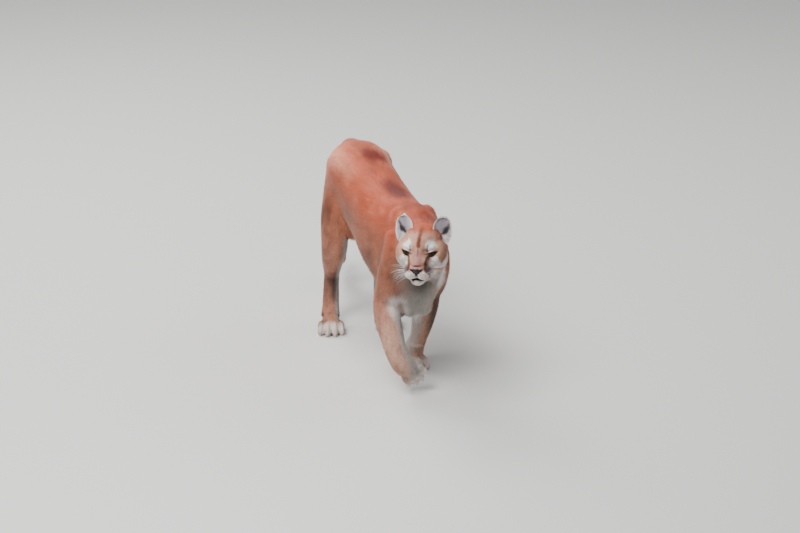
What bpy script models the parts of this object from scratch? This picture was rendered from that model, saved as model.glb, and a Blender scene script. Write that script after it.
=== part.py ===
"""A walking cougar at life size, modelled whole and parted with thin cuts into the parts a person would name.

The animal faces -Y with its left side towards +X, and its planted paws stand on Z = 0. It steps forward with
the right forepaw lifted and the head turned to its right. Lengths are in metres and angles in degrees.
Points are given as (forward of the hips, left of the middle plane, above the floor).
"""

import math

import bmesh
import bpy
from mathutils import Euler, Matrix, Vector
from mathutils.bvhtree import BVHTree

# Driving dimensions of the adult male
CROUP_TOP = 0.655
LOIN_TOP = 0.645
BACK_TOP = 0.611
WITHERS_TOP = 0.636
BELLY_BOTTOM = 0.358
CHEST_BOTTOM = 0.256
HIP_HALF_WIDTH = 0.105
CHEST_HALF_WIDTH = 0.116
EYE_RADIUS = 0.0148
LID_THICKNESS = 0.0022
EAR_HEIGHT = 0.078
EAR_HALF_WIDTH = 0.032
EAR_WIDEST = 0.38  # share of its height
EAR_ROUNDNESS = 3.4  # the higher, the blunter its tip
EAR_FOOT_WIDTH = 0.62  # share of its width at the widest
EAR_THICKNESS = 0.0034
FORE_PAW_WIDTH = 0.092
HIND_PAW_WIDTH = 0.092
TAIL_RADIUS = 0.027

# Pose of the head
HEAD_CENTRE = (0.886, -0.054, 0.5675)
HEAD_YAW = -27.5
HEAD_PITCH = 6.0

GAP = 0.0003  # between parts that touch
BOX_MIDDLE = (0.2297, -0.0086)  # the middle of the model's box, forward and left

# Cells that the shapes are fused in, and the triangles that each model is thinned to
BODY_VOXEL = 0.0085
FOOT_VOXEL = 0.0048
HEAD_VOXEL = 0.0031
NOSE_VOXEL = 0.0016
BODY_TRIANGLES = 5060
FOOT_TRIANGLES = 1000
HEAD_TRIANGLES = 2840
NOSE_TRIANGLES = 420

# Trunk sections from the tail's root forwards:
# forward, top, height of the widest line, bottom, half width, squareness
TRUNK = (
    (-0.225, 0.552, 0.532, 0.498, 0.028, 2.0),
    (-0.180, 0.578, 0.532, 0.440, 0.058, 2.0),
    (-0.100, 0.622, 0.530, 0.385, 0.086, 2.3),
    (-0.030, CROUP_TOP, 0.530, 0.376, HIP_HALF_WIDTH - 0.003, 2.7),
    (0.040, CROUP_TOP - 0.001, 0.530, 0.375, HIP_HALF_WIDTH, 2.8),
    (0.120, LOIN_TOP, 0.515, 0.380, 0.103, 2.6),
    (0.240, 0.625, 0.480, BELLY_BOTTOM, 0.106, 2.5),
    (0.380, BACK_TOP, 0.435, 0.312, CHEST_HALF_WIDTH, 2.3),
    (0.500, 0.612, 0.425, 0.277, CHEST_HALF_WIDTH - 0.003, 2.3),
    (0.600, 0.630, 0.440, CHEST_BOTTOM, 0.100, 2.2),
    (0.680, WITHERS_TOP, 0.460, 0.272, 0.088, 2.1),
    (0.745, 0.615, 0.480, 0.345, 0.074, 2.1),
    (0.790, 0.585, 0.500, 0.400, 0.056, 2.0),
)

# Neck sections: centre point, half height, half width
NECK = (
    ((0.640, 0.000, 0.500), 0.140, 0.090),
    ((0.720, -0.006, 0.510), 0.124, 0.088),
    ((0.790, -0.020, 0.530), 0.102, 0.082),
    ((0.850, -0.038, 0.548), 0.084, 0.072),
    ((0.895, -0.056, 0.562), 0.066, 0.060),
)

# Tail: points of its middle line and its radius there
TAIL = (
    ((-0.150, 0.000, 0.556), 0.036),
    ((-0.208, 0.001, 0.530), 0.0345),
    ((-0.258, 0.004, 0.486), 0.031),
    ((-0.292, 0.010, 0.412), TAIL_RADIUS),
    ((-0.312, 0.018, 0.328), 0.0255),
    ((-0.330, 0.028, 0.240), 0.0250),
    ((-0.358, 0.040, 0.160), 0.0250),
    ((-0.402, 0.054, 0.105), 0.0250),
    ((-0.456, 0.068, 0.090), 0.0245),
    ((-0.505, 0.080, 0.110), 0.0220),
    ((-0.535, 0.087, 0.145), 0.0150),
)

# Legs: the joints down to the foot, each with its half width across and half depth along the body, then the
# foot's place (under its pad), the way its toes point and the way its back faces
FORELEGS = {
    "left": {
        "joints": (
            ((0.640, 0.060, 0.540), 0.036, 0.068),
            ((0.652, 0.074, 0.450), 0.040, 0.070),
            ((0.600, 0.079, 0.370), 0.044, 0.070),
            ((0.545, 0.076, 0.300), 0.045, 0.054),
            ((0.525, 0.074, 0.240), 0.045, 0.049),
            ((0.498, 0.071, 0.165), 0.038, 0.040),
            ((0.468, 0.068, 0.105), 0.031, 0.032),
            ((0.450, 0.061, 0.068), 0.033, 0.033),
            ((0.452, 0.053, 0.038), 0.035, 0.030),
        ),
        "paw": ((0.458, 0.048, 0.000), (1.0, -0.05, 0.0), (0.0, 0.0, 1.0)),
        "width": FORE_PAW_WIDTH,
    },
    "right": {
        "joints": (
            ((0.640, -0.060, 0.545), 0.036, 0.068),
            ((0.664, -0.078, 0.465), 0.040, 0.072),
            ((0.640, -0.084, 0.380), 0.044, 0.070),
            ((0.612, -0.092, 0.300), 0.044, 0.055),
            ((0.640, -0.097, 0.255), 0.046, 0.050),
            ((0.690, -0.097, 0.200), 0.042, 0.042),
            ((0.728, -0.093, 0.154), 0.038, 0.037),
            ((0.738, -0.078, 0.120), 0.038, 0.035),
            ((0.730, -0.057, 0.094), 0.037, 0.031),
        ),
        "paw": ((0.704, -0.048, 0.093), (-0.21, 0.60, -0.77), (0.973, 0.043, -0.239)),
        "width": 0.92 * FORE_PAW_WIDTH,
    },
}
HIND_LEGS = {
    "left": {
        "joints": (
            ((-0.030, 0.055, 0.560), 0.038, 0.100),
            ((-0.015, 0.066, 0.480), 0.044, 0.118),
            ((0.020, 0.086, 0.400), 0.047, 0.106),
            ((0.062, 0.103, 0.335), 0.044, 0.078),
            ((0.040, 0.107, 0.275), 0.040, 0.055),
            ((-0.012, 0.107, 0.220), 0.034, 0.043),
            ((-0.060, 0.103, 0.170), 0.028, 0.038),
            ((-0.050, 0.098, 0.120), 0.029, 0.031),
            ((-0.022, 0.091, 0.065), 0.031, 0.029),
            ((0.010, 0.087, 0.038), 0.035, 0.027),
        ),
        "paw": ((0.045, 0.083, 0.000), (1.0, -0.07, 0.0), (0.0, 0.0, 1.0)),
        "width": HIND_PAW_WIDTH,
    },
    "right": {
        "joints": (
            ((-0.030, -0.055, 0.560), 0.038, 0.100),
            ((-0.015, -0.066, 0.480), 0.044, 0.118),
            ((0.020, -0.088, 0.400), 0.047, 0.106),
            ((0.068, -0.107, 0.335), 0.044, 0.078),
            ((0.036, -0.103, 0.275), 0.040, 0.055),
            ((-0.020, -0.090, 0.220), 0.034, 0.043),
            ((-0.075, -0.074, 0.170), 0.028, 0.038),
            ((-0.062, -0.080, 0.120), 0.029, 0.031),
            ((-0.030, -0.092, 0.065), 0.031, 0.029),
            ((0.000, -0.102, 0.038), 0.035, 0.027),
        ),
        "paw": ((0.038, -0.112, 0.000), (1.0, -0.27, 0.0), (0.0, 0.0, 1.0)),
        "width": HIND_PAW_WIDTH,
    },
}

# Muscles under the coat, mirrored to both sides: centre, half sizes along, across and up, pitch
MUSCLES = (
    ((0.625, 0.052, 0.552), (0.070, 0.030, 0.074), -18.0),  # shoulder blade
    ((0.575, 0.076, 0.420), (0.076, 0.034, 0.078), 20.0),  # back of the upper arm
    ((0.690, 0.050, 0.420), (0.056, 0.042, 0.075), 0.0),  # breast
    ((0.600, 0.044, 0.278), (0.052, 0.030, 0.046), 0.0),  # loose skin between the elbow and the breast
    ((-0.040, 0.048, 0.552), (0.080, 0.042, 0.058), 0.0),  # rump
    ((-0.062, 0.060, 0.425), (0.045, 0.036, 0.125), -28.0),  # back of the thigh
    ((0.110, 0.056, 0.408), (0.068, 0.026, 0.056), 30.0),  # fold of the flank
    ((-0.085, 0.008, 0.606), (0.060, 0.026, 0.036), 12.0),  # root of the tail
    ((0.655, 0.022, 0.300), (0.040, 0.034, 0.052), 0.0),  # breast between the forelegs
)
# The hip that the step carries out, on the left side alone
OUTER_HIP = ((0.000, 0.084, 0.580), (0.062, 0.034, 0.045))

# Soft shapes of the head in its own frame: centre, half sizes along, across and up. Those off the middle are
# mirrored.
HEAD_SHAPES = (
    ((-0.020, 0.000, 0.012), (0.080, 0.066, 0.062)),  # braincase
    ((0.022, 0.000, 0.030), (0.052, 0.045, 0.036)),  # forehead
    ((0.008, 0.049, -0.012), (0.058, 0.037, 0.047)),  # cheekbone
    ((-0.022, 0.047, -0.040), (0.052, 0.036, 0.043)),  # jaw muscle
    ((0.040, 0.030, 0.026), (0.026, 0.024, 0.015)),  # brow
    ((0.058, 0.016, -0.010), (0.048, 0.024, 0.028)),  # side of the muzzle
    ((0.099, 0.0205, -0.0415), (0.029, 0.0235, 0.0235)),  # whisker pad
    ((0.074, 0.027, -0.039), (0.034, 0.020, 0.022)),  # cheek end of the lip
    ((0.083, 0.000, -0.073), (0.032, 0.026, 0.020)),  # chin
    ((0.044, 0.022, -0.066), (0.050, 0.024, 0.023)),  # lower jaw
    ((-0.005, 0.000, -0.070), (0.060, 0.040, 0.030)),  # throat
)
# Bridge of the nose: forward, up, radius
NOSE_BRIDGE = (
    (0.030, 0.036, 0.024),
    (0.062, 0.018, 0.0190),
    (0.090, -0.006, 0.0175),
    (0.107, -0.021, 0.0160),
)
EYE_PLACE = (0.0475, 0.0375, 0.008)
EYE_TURN_OUT = 20.0
EYE_TURN_UP = 6.0
EYE_SLANT = 14.0
EYE_OPENING = (0.0140, 0.0072)  # half length and half height between the lids
EAR_PLACE = (-0.030, 0.059, 0.022)
NOSE_PLACE = (0.118, 0.0, -0.0255)
# The line between the lips from the middle to the left corner, and the cleft that runs down to it from the nose
MOUTH = (
    (0.1180, 0.000, -0.0600),
    (0.1130, 0.010, -0.0640),
    (0.1030, 0.021, -0.0655),
    (0.0850, 0.032, -0.0620),
    (0.0640, 0.041, -0.0550),
)
CLEFT = ((0.1230, 0.000, -0.0400), (0.1210, 0.000, -0.0500), (0.1160, 0.000, -0.0605))
MOUTH_GROOVE = 0.0015


def at(forward, left, up):
    """A point of the model."""
    return Vector((left - BOX_MIDDLE[1], BOX_MIDDLE[0] - forward, up))


def heading(forward, left, up):
    """A direction of the model."""
    return Vector((left, -forward, up))


def turned(yaw=0.0, pitch=0.0, roll=0.0):
    """A turn about the vertical, after one about the side axis that lowers the front, after one about the length."""
    return Euler((math.radians(pitch), math.radians(roll), math.radians(yaw)), "XYZ").to_matrix().to_4x4()


def placed(point, yaw=0.0, pitch=0.0, roll=0.0):
    return Matrix.Translation(at(*point)) @ turned(yaw, pitch, roll)


HEAD = placed(HEAD_CENTRE, HEAD_YAW, HEAD_PITCH)


def in_head(forward, left, up):
    """A point of the head's own frame."""
    return HEAD @ Vector((left, -forward, up))


def blended(stations, steps):
    """Stations with a smooth curve of more of them between, as rows of plain numbers."""
    rows = [[v for item in s for v in (item if isinstance(item, tuple) else (item,))] for s in stations]
    padded = [rows[0]] + rows + [rows[-1]]
    made = []
    for a, b, c, d in zip(padded, padded[1:], padded[2:], padded[3:]):
        for step in range(steps):
            t = step / steps
            made.append([
                0.5 * (2 * q + (r - p) * t + (2 * p - 5 * q + 4 * r - s) * t**2 + (3 * q - p - 3 * r + s) * t**3)
                for p, q, r, s in zip(a, b, c, d)
            ])
    return made + [rows[-1]]


def add_rings(shape, rings):
    """A loft through rings of the same count of points, closed at both ends."""
    made = [[shape.verts.new(point) for point in ring] for ring in rings]
    count = len(made[0])
    for lower, upper in zip(made, made[1:]):
        for i in range(count):
            shape.faces.new((lower[i], lower[(i + 1) % count], upper[(i + 1) % count], upper[i]))
    shape.faces.new(made[0][::-1])
    shape.faces.new(made[-1])


def add_ellipsoid(shape, place, half_sizes, segments=24):
    """An ellipsoid with half sizes along, across and up, in the frame of a matrix."""
    along, across, up = half_sizes
    matrix = place @ Matrix.Diagonal((across, along, up, 1.0))
    bmesh.ops.create_uvsphere(shape, u_segments=segments, v_segments=segments // 2, radius=1.0, matrix=matrix)


def add_tube(shape, rows, count=20, side=None):
    """A tube along points, each with its half width across and half depth: rows of x, y, z, width, depth."""
    points = [Vector(row[:3]) for row in rows]
    rings = []
    for i, row in enumerate(rows):
        along = (points[min(i + 1, len(points) - 1)] - points[max(i - 1, 0)]).normalized()
        across = (side or Vector((1, 0, 0)))
        across = (across - along * across.dot(along)).normalized()
        deep = along.cross(across)
        rings.append([
            points[i] + across * row[3] * math.cos(a) + deep * row[4] * math.sin(a)
            for a in (2 * math.pi * n / count for n in range(count))
        ])
    add_rings(shape, rings)


def add_trunk(shape, count=32):
    """The barrel of the body: rounded square sections whose upper and lower halves differ."""
    rings = []
    for forward, top, wide, bottom, half_width, square in blended(TRUNK, 4):
        ring = []
        for n in range(count):
            a = 2 * math.pi * n / count
            c, s = math.cos(a), math.sin(a)
            left = half_width * math.copysign(abs(c) ** (2 / square), c)
            up = (top - wide if s > 0 else wide - bottom) * math.copysign(abs(s) ** (2 / square), s)
            ring.append(at(forward, left, wide + up))
        rings.append(ring)
    add_rings(shape, rings)
    for (forward, left, up), half_sizes, pitch in MUSCLES:
        for side in (1, -1):
            add_ellipsoid(shape, placed((forward, side * left, up), pitch=pitch), half_sizes)
    add_ellipsoid(shape, placed(OUTER_HIP[0]), OUTER_HIP[1])


def add_neck(shape):
    rows = [[*at(*row[:3]), row[4], row[3]] for row in blended(NECK, 3)]
    add_tube(shape, rows, 24)


def add_tail(shape):
    rows = [[*at(*row[:3]), row[3], row[3]] for row in blended(TAIL, 4)]
    add_tube(shape, rows, 16)
    tip = rows[-1]
    add_ellipsoid(shape, Matrix.Translation(tip[:3]), (tip[3],) * 3, 12)


def add_leg(shape, leg):
    rows = [[*at(*row[:3]), row[3], row[4]] for row in blended(leg["joints"], 4)]
    add_tube(shape, rows)


def add_heel(shape, leg):
    """The point of the hock, behind the ankle."""
    forward, left, up = leg["joints"][6][0]
    add_ellipsoid(shape, placed((forward - 0.022, left, up + 0.004), pitch=-25), (0.017, 0.017, 0.030), 16)


def paw_frame(paw):
    point, toes, back = paw
    forward = heading(*toes).normalized()
    left = heading(*back).cross(forward).normalized()
    up = forward.cross(left)
    return Matrix.Translation(at(*point)) @ Matrix((left, -forward, up)).transposed().to_4x4()


def add_paw(shape, paw, width):
    """The pad and the four toes of a foot, each toe with its knuckle."""
    frame = paw_frame(paw)
    wide = width / FORE_PAW_WIDTH

    def place(forward, left, up, turn=0.0):
        return frame @ Matrix.Translation((left, -forward, up)) @ turned(turn)

    add_ellipsoid(shape, place(0.000, 0.0, 0.021), (0.046, 0.037 * wide, 0.027))
    instep = place(-0.010, 0.0, 0.036) @ turned(pitch=30)
    add_ellipsoid(shape, instep, (0.038, 0.030 * wide, 0.020))
    for side in (1, -1):
        for forward, left, turn in ((0.054, 0.0124, 3.0), (0.041, 0.0345, 12.0)):
            add_ellipsoid(shape, place(forward, side * left * wide, 0.0145, side * turn), (0.0245, 0.0120, 0.0195), 16)
            add_ellipsoid(shape, place(forward - 0.022, side * left * wide, 0.0260, side * turn), (0.0230, 0.0110, 0.0160), 16)


def add_head(shape):
    for (forward, left, up), half_sizes in HEAD_SHAPES:
        for side in (1, -1) if left else (1,):
            add_ellipsoid(shape, HEAD @ Matrix.Translation((side * left, -forward, up)), half_sizes)
    rows = [[*in_head(forward, 0.0, up), radius, radius] for forward, up, radius in NOSE_BRIDGE]
    add_tube(shape, rows, 20, HEAD.to_3x3() @ Vector((1, 0, 0)))


def new_object(name, mesh):
    made = bpy.data.objects.new(name, mesh)
    bpy.context.scene.collection.objects.link(made)
    return made


def object_from(name, shape):
    bmesh.ops.recalc_face_normals(shape, faces=shape.faces)
    mesh = bpy.data.meshes.new(name)
    shape.to_mesh(mesh)
    shape.free()
    return new_object(name, mesh)


def apply_modifiers(made):
    """The object's mesh as its modifiers leave it, with the modifiers removed."""
    graph = bpy.context.evaluated_depsgraph_get()
    mesh = bpy.data.meshes.new_from_object(made.evaluated_get(graph))
    old = made.data
    made.modifiers.clear()
    made.data = mesh
    bpy.data.meshes.remove(old)


def fuse(made, voxel, smoothing, triangles):
    """Fuses an object's overlapping shapes, smooths their joins and thins them to a count of triangles."""
    remesh = made.modifiers.new("Fuse", "REMESH")
    remesh.mode = "VOXEL"
    remesh.voxel_size = voxel
    smooth = made.modifiers.new("Soften", "SMOOTH")
    smooth.factor = 0.5
    smooth.iterations = max(1, round((smoothing / voxel) ** 2))
    apply_modifiers(made)
    thin = made.modifiers.new("Thin", "DECIMATE")
    thin.ratio = min(1.0, triangles / (2 * len(made.data.polygons)))
    apply_modifiers(made)
    return made


def fused(name, adders, voxel, smoothing, triangles):
    """The shapes that the adders make, as one."""
    shape = bmesh.new()
    for add, *values in adders:
        add(shape, *values)
    return fuse(object_from(name, shape), voxel, smoothing, triangles)


def combine(made, other, operation):
    """The object after a Boolean with another, which is then removed."""
    step = made.modifiers.new("Combine", "BOOLEAN")
    step.operation = operation
    step.solver = "MANIFOLD"
    step.object = other
    apply_modifiers(made)
    bpy.data.objects.remove(other)


def keep_largest(made):
    """Drops all but the largest closed surface."""
    shape = bmesh.new()
    shape.from_mesh(made.data)
    left = set(shape.faces)
    islands = []
    while left:
        rim = {left.pop()}
        island = set(rim)
        while rim:
            rim = {other for face in rim for side in face.edges for other in side.link_faces} & left
            left -= rim
            island |= rim
        islands.append(island)
    islands.sort(key=lambda island: sum(face.calc_area() for face in island))
    scraps = [face for island in islands[:-1] for face in island]
    bmesh.ops.delete(shape, geom=scraps, context="FACES")
    shape.to_mesh(made.data)
    shape.free()


def copy_of(made, name):
    return new_object(name, made.data.copy())


def box(region, grow=0.0):
    """A region's solid, made larger all round by a distance."""
    centre, half_sizes, turn = region
    along, across, up = (half + grow for half in half_sizes)
    shape = bmesh.new()
    matrix = placed(centre, *turn) @ Matrix.Diagonal((across, along, up, 1.0))
    bmesh.ops.create_cube(shape, size=2.0, matrix=matrix)
    return object_from("region", shape)


def oval(region, grow=0.0):
    centre, half_sizes, turn = region
    along, across, up = (half + grow for half in half_sizes)
    shape = bmesh.new()
    matrix = placed(centre, *turn) @ Matrix.Diagonal((across, along, up, 1.0)) @ Matrix.Rotation(math.pi / 2, 4, "Y")
    bmesh.ops.create_cone(shape, cap_ends=True, segments=40, radius1=1.0, radius2=1.0, depth=2.0, matrix=matrix)
    return object_from("region", shape)


def part_off(body, name, region, fine=None, solid=box):
    """The piece of the body inside a region, or of a finer model of it, cut from the body with a thin gap."""
    piece = fine or copy_of(body, name)
    piece.name = name
    combine(piece, solid(region), "INTERSECT")
    keep_largest(piece)
    combine(body, solid(region, GAP), "DIFFERENCE")
    return piece


def grown(made, distance):
    """A copy with its surface moved out along its normals."""
    made = copy_of(made, "grown")
    move = made.modifiers.new("Grow", "DISPLACE")
    move.mid_level = 0.0
    move.strength = distance
    apply_modifiers(made)
    return made


def eye_frame(side):
    forward, left, up = EYE_PLACE
    turn = turned(side * EYE_TURN_OUT, -EYE_TURN_UP)
    return HEAD @ Matrix.Translation((side * left, -forward, up)) @ turn


def make_eye(side, radius, name="eye"):
    shape = bmesh.new()
    add_ellipsoid(shape, eye_frame(side), (radius,) * 3, 18)
    return object_from(name, shape)


def make_eye_opening(side):
    """The almond between the lids, as a prism that leaves the eye forwards."""
    half_length, half_height = EYE_OPENING
    frame = eye_frame(side) @ Matrix.Rotation(math.radians(-side * EYE_SLANT), 4, "Y")
    outline = []
    for n in range(16):
        a = 2 * math.pi * n / 16
        outline.append((half_length * math.cos(a), half_height * math.copysign(abs(math.sin(a)) ** 1.3, math.sin(a))))
    shape = bmesh.new()
    add_rings(shape, [[frame @ Vector((x, -depth, z)) for x, z in outline] for depth in (0.003, 0.040)])
    return object_from("opening", shape)


def cut_eyes(head):
    """Lids that wrap each eye, the opening between them and the socket behind."""
    for side in (1, -1):
        combine(head, make_eye(side, EYE_RADIUS + LID_THICKNESS), "UNION")
        combine(head, make_eye_opening(side), "DIFFERENCE")
        combine(head, make_eye(side, EYE_RADIUS + GAP), "DIFFERENCE")


def cut_mouth(head):
    """Grooves between the lips and up the cleft to the nose, laid on the surface of the muzzle."""
    shape = bmesh.new()
    shape.from_mesh(head.data)
    tree = BVHTree.FromBMesh(shape)
    shape.free()
    right = tuple((forward, -left, up) for forward, left, up in MOUTH[:0:-1])
    for path in (right + MOUTH, CLEFT):
        points = [tree.find_nearest(in_head(*row))[0] for row in blended(path, 8)]
        groove = bmesh.new()
        rows = [[*point, MOUTH_GROOVE, MOUTH_GROOVE] for point in points]
        add_tube(groove, rows, 6, HEAD.to_3x3() @ Vector((0.1, 0.2, 1)))
        combine(head, object_from("groove", groove), "DIFFERENCE")


def make_nose():
    """The bare nose: two wings and a wedge below, with a nostril in each wing."""
    def place(forward, left, up):
        return HEAD @ Matrix.Translation((NOSE_PLACE[1] + left, -(NOSE_PLACE[0] + forward), NOSE_PLACE[2] + up))

    shape = bmesh.new()
    for side in (1, -1):
        add_ellipsoid(shape, place(-0.003, side * 0.0115, 0.003), (0.0120, 0.0105, 0.0085), 16)
    add_ellipsoid(shape, place(0.000, 0.0, 0.003), (0.0130, 0.0120, 0.0090), 16)
    add_ellipsoid(shape, place(-0.002, 0.0, -0.008), (0.0100, 0.0065, 0.0110), 16)
    nose = fuse(object_from("nose", shape), NOSE_VOXEL, 0.0028, NOSE_TRIANGLES)
    for side in (1, -1):
        nostril = bmesh.new()
        slant = Matrix.Rotation(math.radians(side * 30), 4, "Y")
        add_ellipsoid(nostril, place(0.009, side * 0.0105, 0.000) @ slant, (0.0065, 0.0048, 0.0026), 10)
        combine(nose, object_from("nostril", nostril), "DIFFERENCE")
    return nose


def ear_frame(side):
    forward, left, up = EAR_PLACE
    turn = Euler((math.radians(-8), math.radians(side * 9), math.radians(side * 22)), "XYZ").to_matrix().to_4x4()
    return HEAD @ Matrix.Translation((side * left, -forward, up)) @ turn


def make_ear(side):
    """A rounded cup: a leaf bent round its length, open to the front, with a thickness."""
    rows, columns = 10, 12
    frame = ear_frame(side)
    shape = bmesh.new()
    grid = []
    for i in range(rows + 1):
        t = math.sin(0.5 * math.pi * i / rows)
        above = max(0.0, (t - EAR_WIDEST) / (1 - EAR_WIDEST))
        narrowing = EAR_FOOT_WIDTH + (1 - EAR_FOOT_WIDTH) * math.sin(0.5 * math.pi * min(1.0, t / EAR_WIDEST))
        swell = math.sqrt(max(0.01, 1 - above**EAR_ROUNDNESS)) * narrowing
        depth = 0.021 * (1 - 0.75 * t)
        wrap = math.radians(108 - 30 * t)
        line = []
        for j in range(columns + 1):
            a = wrap * (2 * j / columns - 1)
            line.append(shape.verts.new(frame @ Vector((
                EAR_HALF_WIDTH * swell * math.sin(a),
                depth * (math.cos(a) - 0.3),
                EAR_HEIGHT * t + 0.006 * math.cos(a),
            ))))
        grid.append(line)
    for lower, upper in zip(grid, grid[1:]):
        for j in range(columns):
            shape.faces.new((lower[j], lower[j + 1], upper[j + 1], upper[j]))
    ear = object_from("ear", shape)
    wall = ear.modifiers.new("Wall", "SOLIDIFY")
    wall.thickness = EAR_THICKNESS
    wall.offset = 0.0
    apply_modifiers(ear)
    return ear


# Regions that part the body: centre, half sizes along, across and up, and turn. An oval is round across its
# left-right axis.
FOOT_REGIONS = {
    "fore_paw_left": ((0.500, 0.065, -0.010), (0.100, 0.070, 0.088), (0, 0, 0)),
    "fore_paw_right": ((0.760, -0.020, 0.060), (0.110, 0.075, 0.110), (38, 30, 0)),
    "hind_foot_left": ((0.010, 0.090, 0.020), (0.130, 0.070, 0.100), (0, 0, 0)),
    "hind_foot_right": ((0.000, -0.095, 0.020), (0.130, 0.070, 0.100), (0, 0, 0)),
}
LEG_REGIONS = {
    "forearm_left": ((0.500, 0.078, 0.165), (0.100, 0.075, 0.105), (0, 0, 0)),
    "forearm_right": ((0.690, -0.098, 0.165), (0.085, 0.080, 0.140), (0, 42, 0)),
    "shank_left": ((0.000, 0.105, 0.200), (0.150, 0.075, 0.100), (0, 0, 0)),
    "shank_right": ((0.000, -0.095, 0.200), (0.150, 0.075, 0.100), (0, 0, 0)),
}
OVAL_REGIONS = {
    "upper_foreleg_left": ((0.605, 0.150, 0.300), (0.105, 0.090, 0.165), (0, 0, 26)),
    "upper_foreleg_right": ((0.635, -0.150, 0.300), (0.105, 0.090, 0.170), (0, 0, -26)),
    "thigh_left": ((0.010, 0.165, 0.360), (0.150, 0.100, 0.185), (0, 0, 22)),
    "thigh_right": ((0.010, -0.165, 0.360), (0.150, 0.100, 0.185), (0, 0, -22)),
}
HEAD_REGION = ((0.955, -0.075, 0.560), (0.150, 0.150, 0.200), (-24, 8, 0))
TRUNK_REGIONS = {
    "neck": ((0.860, -0.020, 0.570), (0.150, 0.160, 0.220), (-8, -24, 0)),
    "tail_tip": ((-0.450, 0.050, 0.000), (0.200, 0.120, 0.180), (0, 0, 0)),
    "tail_middle": ((-0.350, 0.030, 0.275), (0.130, 0.100, 0.100), (0, 0, 0)),
    "tail_root": ((-0.400, 0.000, 0.500), (0.203, 0.120, 0.200), (0, 0, 0)),
    "rump": ((0.000, 0.000, 0.500), (0.210, 0.200, 0.250), (0, 0, 0)),
    "abdomen": ((0.310, 0.000, 0.500), (0.115, 0.200, 0.250), (0, 0, 0)),
}

# Colour, roughness of each finish
FINISHES = {
    "coat": ((0.45, 0.20, 0.095, 1.0), 0.85),
    "nose_leather": ((0.16, 0.06, 0.055, 1.0), 0.45),
    "eye": ((0.16, 0.10, 0.035, 1.0), 0.08),
}


def finish(made, name):
    material = bpy.data.materials.get(name) or bpy.data.materials.new(name)
    colour, roughness = FINISHES[name]
    material.use_nodes = True
    shader = material.node_tree.nodes["Principled BSDF"]
    shader.inputs["Base Color"].default_value = colour
    shader.inputs["Roughness"].default_value = roughness
    shader.inputs["Metallic"].default_value = 0.0
    made.data.materials.clear()
    made.data.materials.append(material)


def make_head():
    return fused("head", [(add_head,), (add_neck,)], HEAD_VOXEL, 0.0062, HEAD_TRIANGLES)


def make_body():
    adders = [(add_trunk,), (add_neck,), (add_tail,)]
    for legs in (FORELEGS, HIND_LEGS):
        for leg in legs.values():
            adders += [(add_leg, leg), (add_paw, leg["paw"], leg["width"])]
    adders += [(add_heel, leg) for leg in HIND_LEGS.values()]
    return fused("chest", adders, BODY_VOXEL, 0.0125, BODY_TRIANGLES)


def make_feet():
    feet = {}
    for kind, legs in (("fore_paw", FORELEGS), ("hind_foot", HIND_LEGS)):
        for side, leg in legs.items():
            lower = {"joints": leg["joints"][4:]}
            name = f"{kind}_{side}"
            adders = [(add_leg, lower), (add_paw, leg["paw"], leg["width"])]
            if kind == "hind_foot":
                adders.append((add_heel, leg))
            feet[name] = fused(name, adders, FOOT_VOXEL, 0.0056, FOOT_TRIANGLES)
    return feet


def stand_flat(made):
    """Cuts what lies under the floor, which leaves a small flat sole."""
    combine(made, box(((0.3, 0.0, -0.1), (1.0, 1.0, 0.1), (0, 0, 0))), "DIFFERENCE")


def main():
    for old in list(bpy.data.objects):
        bpy.data.objects.remove(old)
    body = make_body()
    nodes = []
    for name, foot in make_feet().items():
        stand_flat(foot)
        nodes.append(part_off(body, name, FOOT_REGIONS[name], foot))
    for name, region in LEG_REGIONS.items():
        nodes.append(part_off(body, name, region))
    for name, region in OVAL_REGIONS.items():
        nodes.append(part_off(body, name, region, solid=oval))
    head = part_off(body, "head", HEAD_REGION, make_head())
    for name, region in TRUNK_REGIONS.items():
        nodes.append(part_off(body, name, region))
    keep_largest(body)
    cut_eyes(head)
    nose = make_nose()
    combine(head, grown(nose, GAP), "DIFFERENCE")
    cut_mouth(head)
    keep_largest(head)
    for side, word in ((1, "left"), (-1, "right")):
        ear = make_ear(side)
        ear.name = f"ear_{word}"
        combine(ear, grown(head, GAP), "DIFFERENCE")
        keep_largest(ear)
        nodes.append(ear)
        eye = make_eye(side, EYE_RADIUS, f"eye_{word}")
        finish(eye, "eye")
        nodes.append(eye)
    nodes += [body, head, nose]
    finish(nose, "nose_leather")
    for made in nodes:
        if not made.data.materials or made.data.materials[0] is None:
            finish(made, "coat")
        made.data.shade_smooth()
    cougar = bpy.data.collections.new("cougar")
    bpy.context.scene.collection.children.link(cougar)
    for made in nodes:
        bpy.context.scene.collection.objects.unlink(made)
        cougar.objects.link(made)


main()
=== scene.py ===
import math

import bmesh
import bpy
import numpy as np
from mathutils import Matrix, Vector
from mathutils.bvhtree import BVHTree


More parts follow.
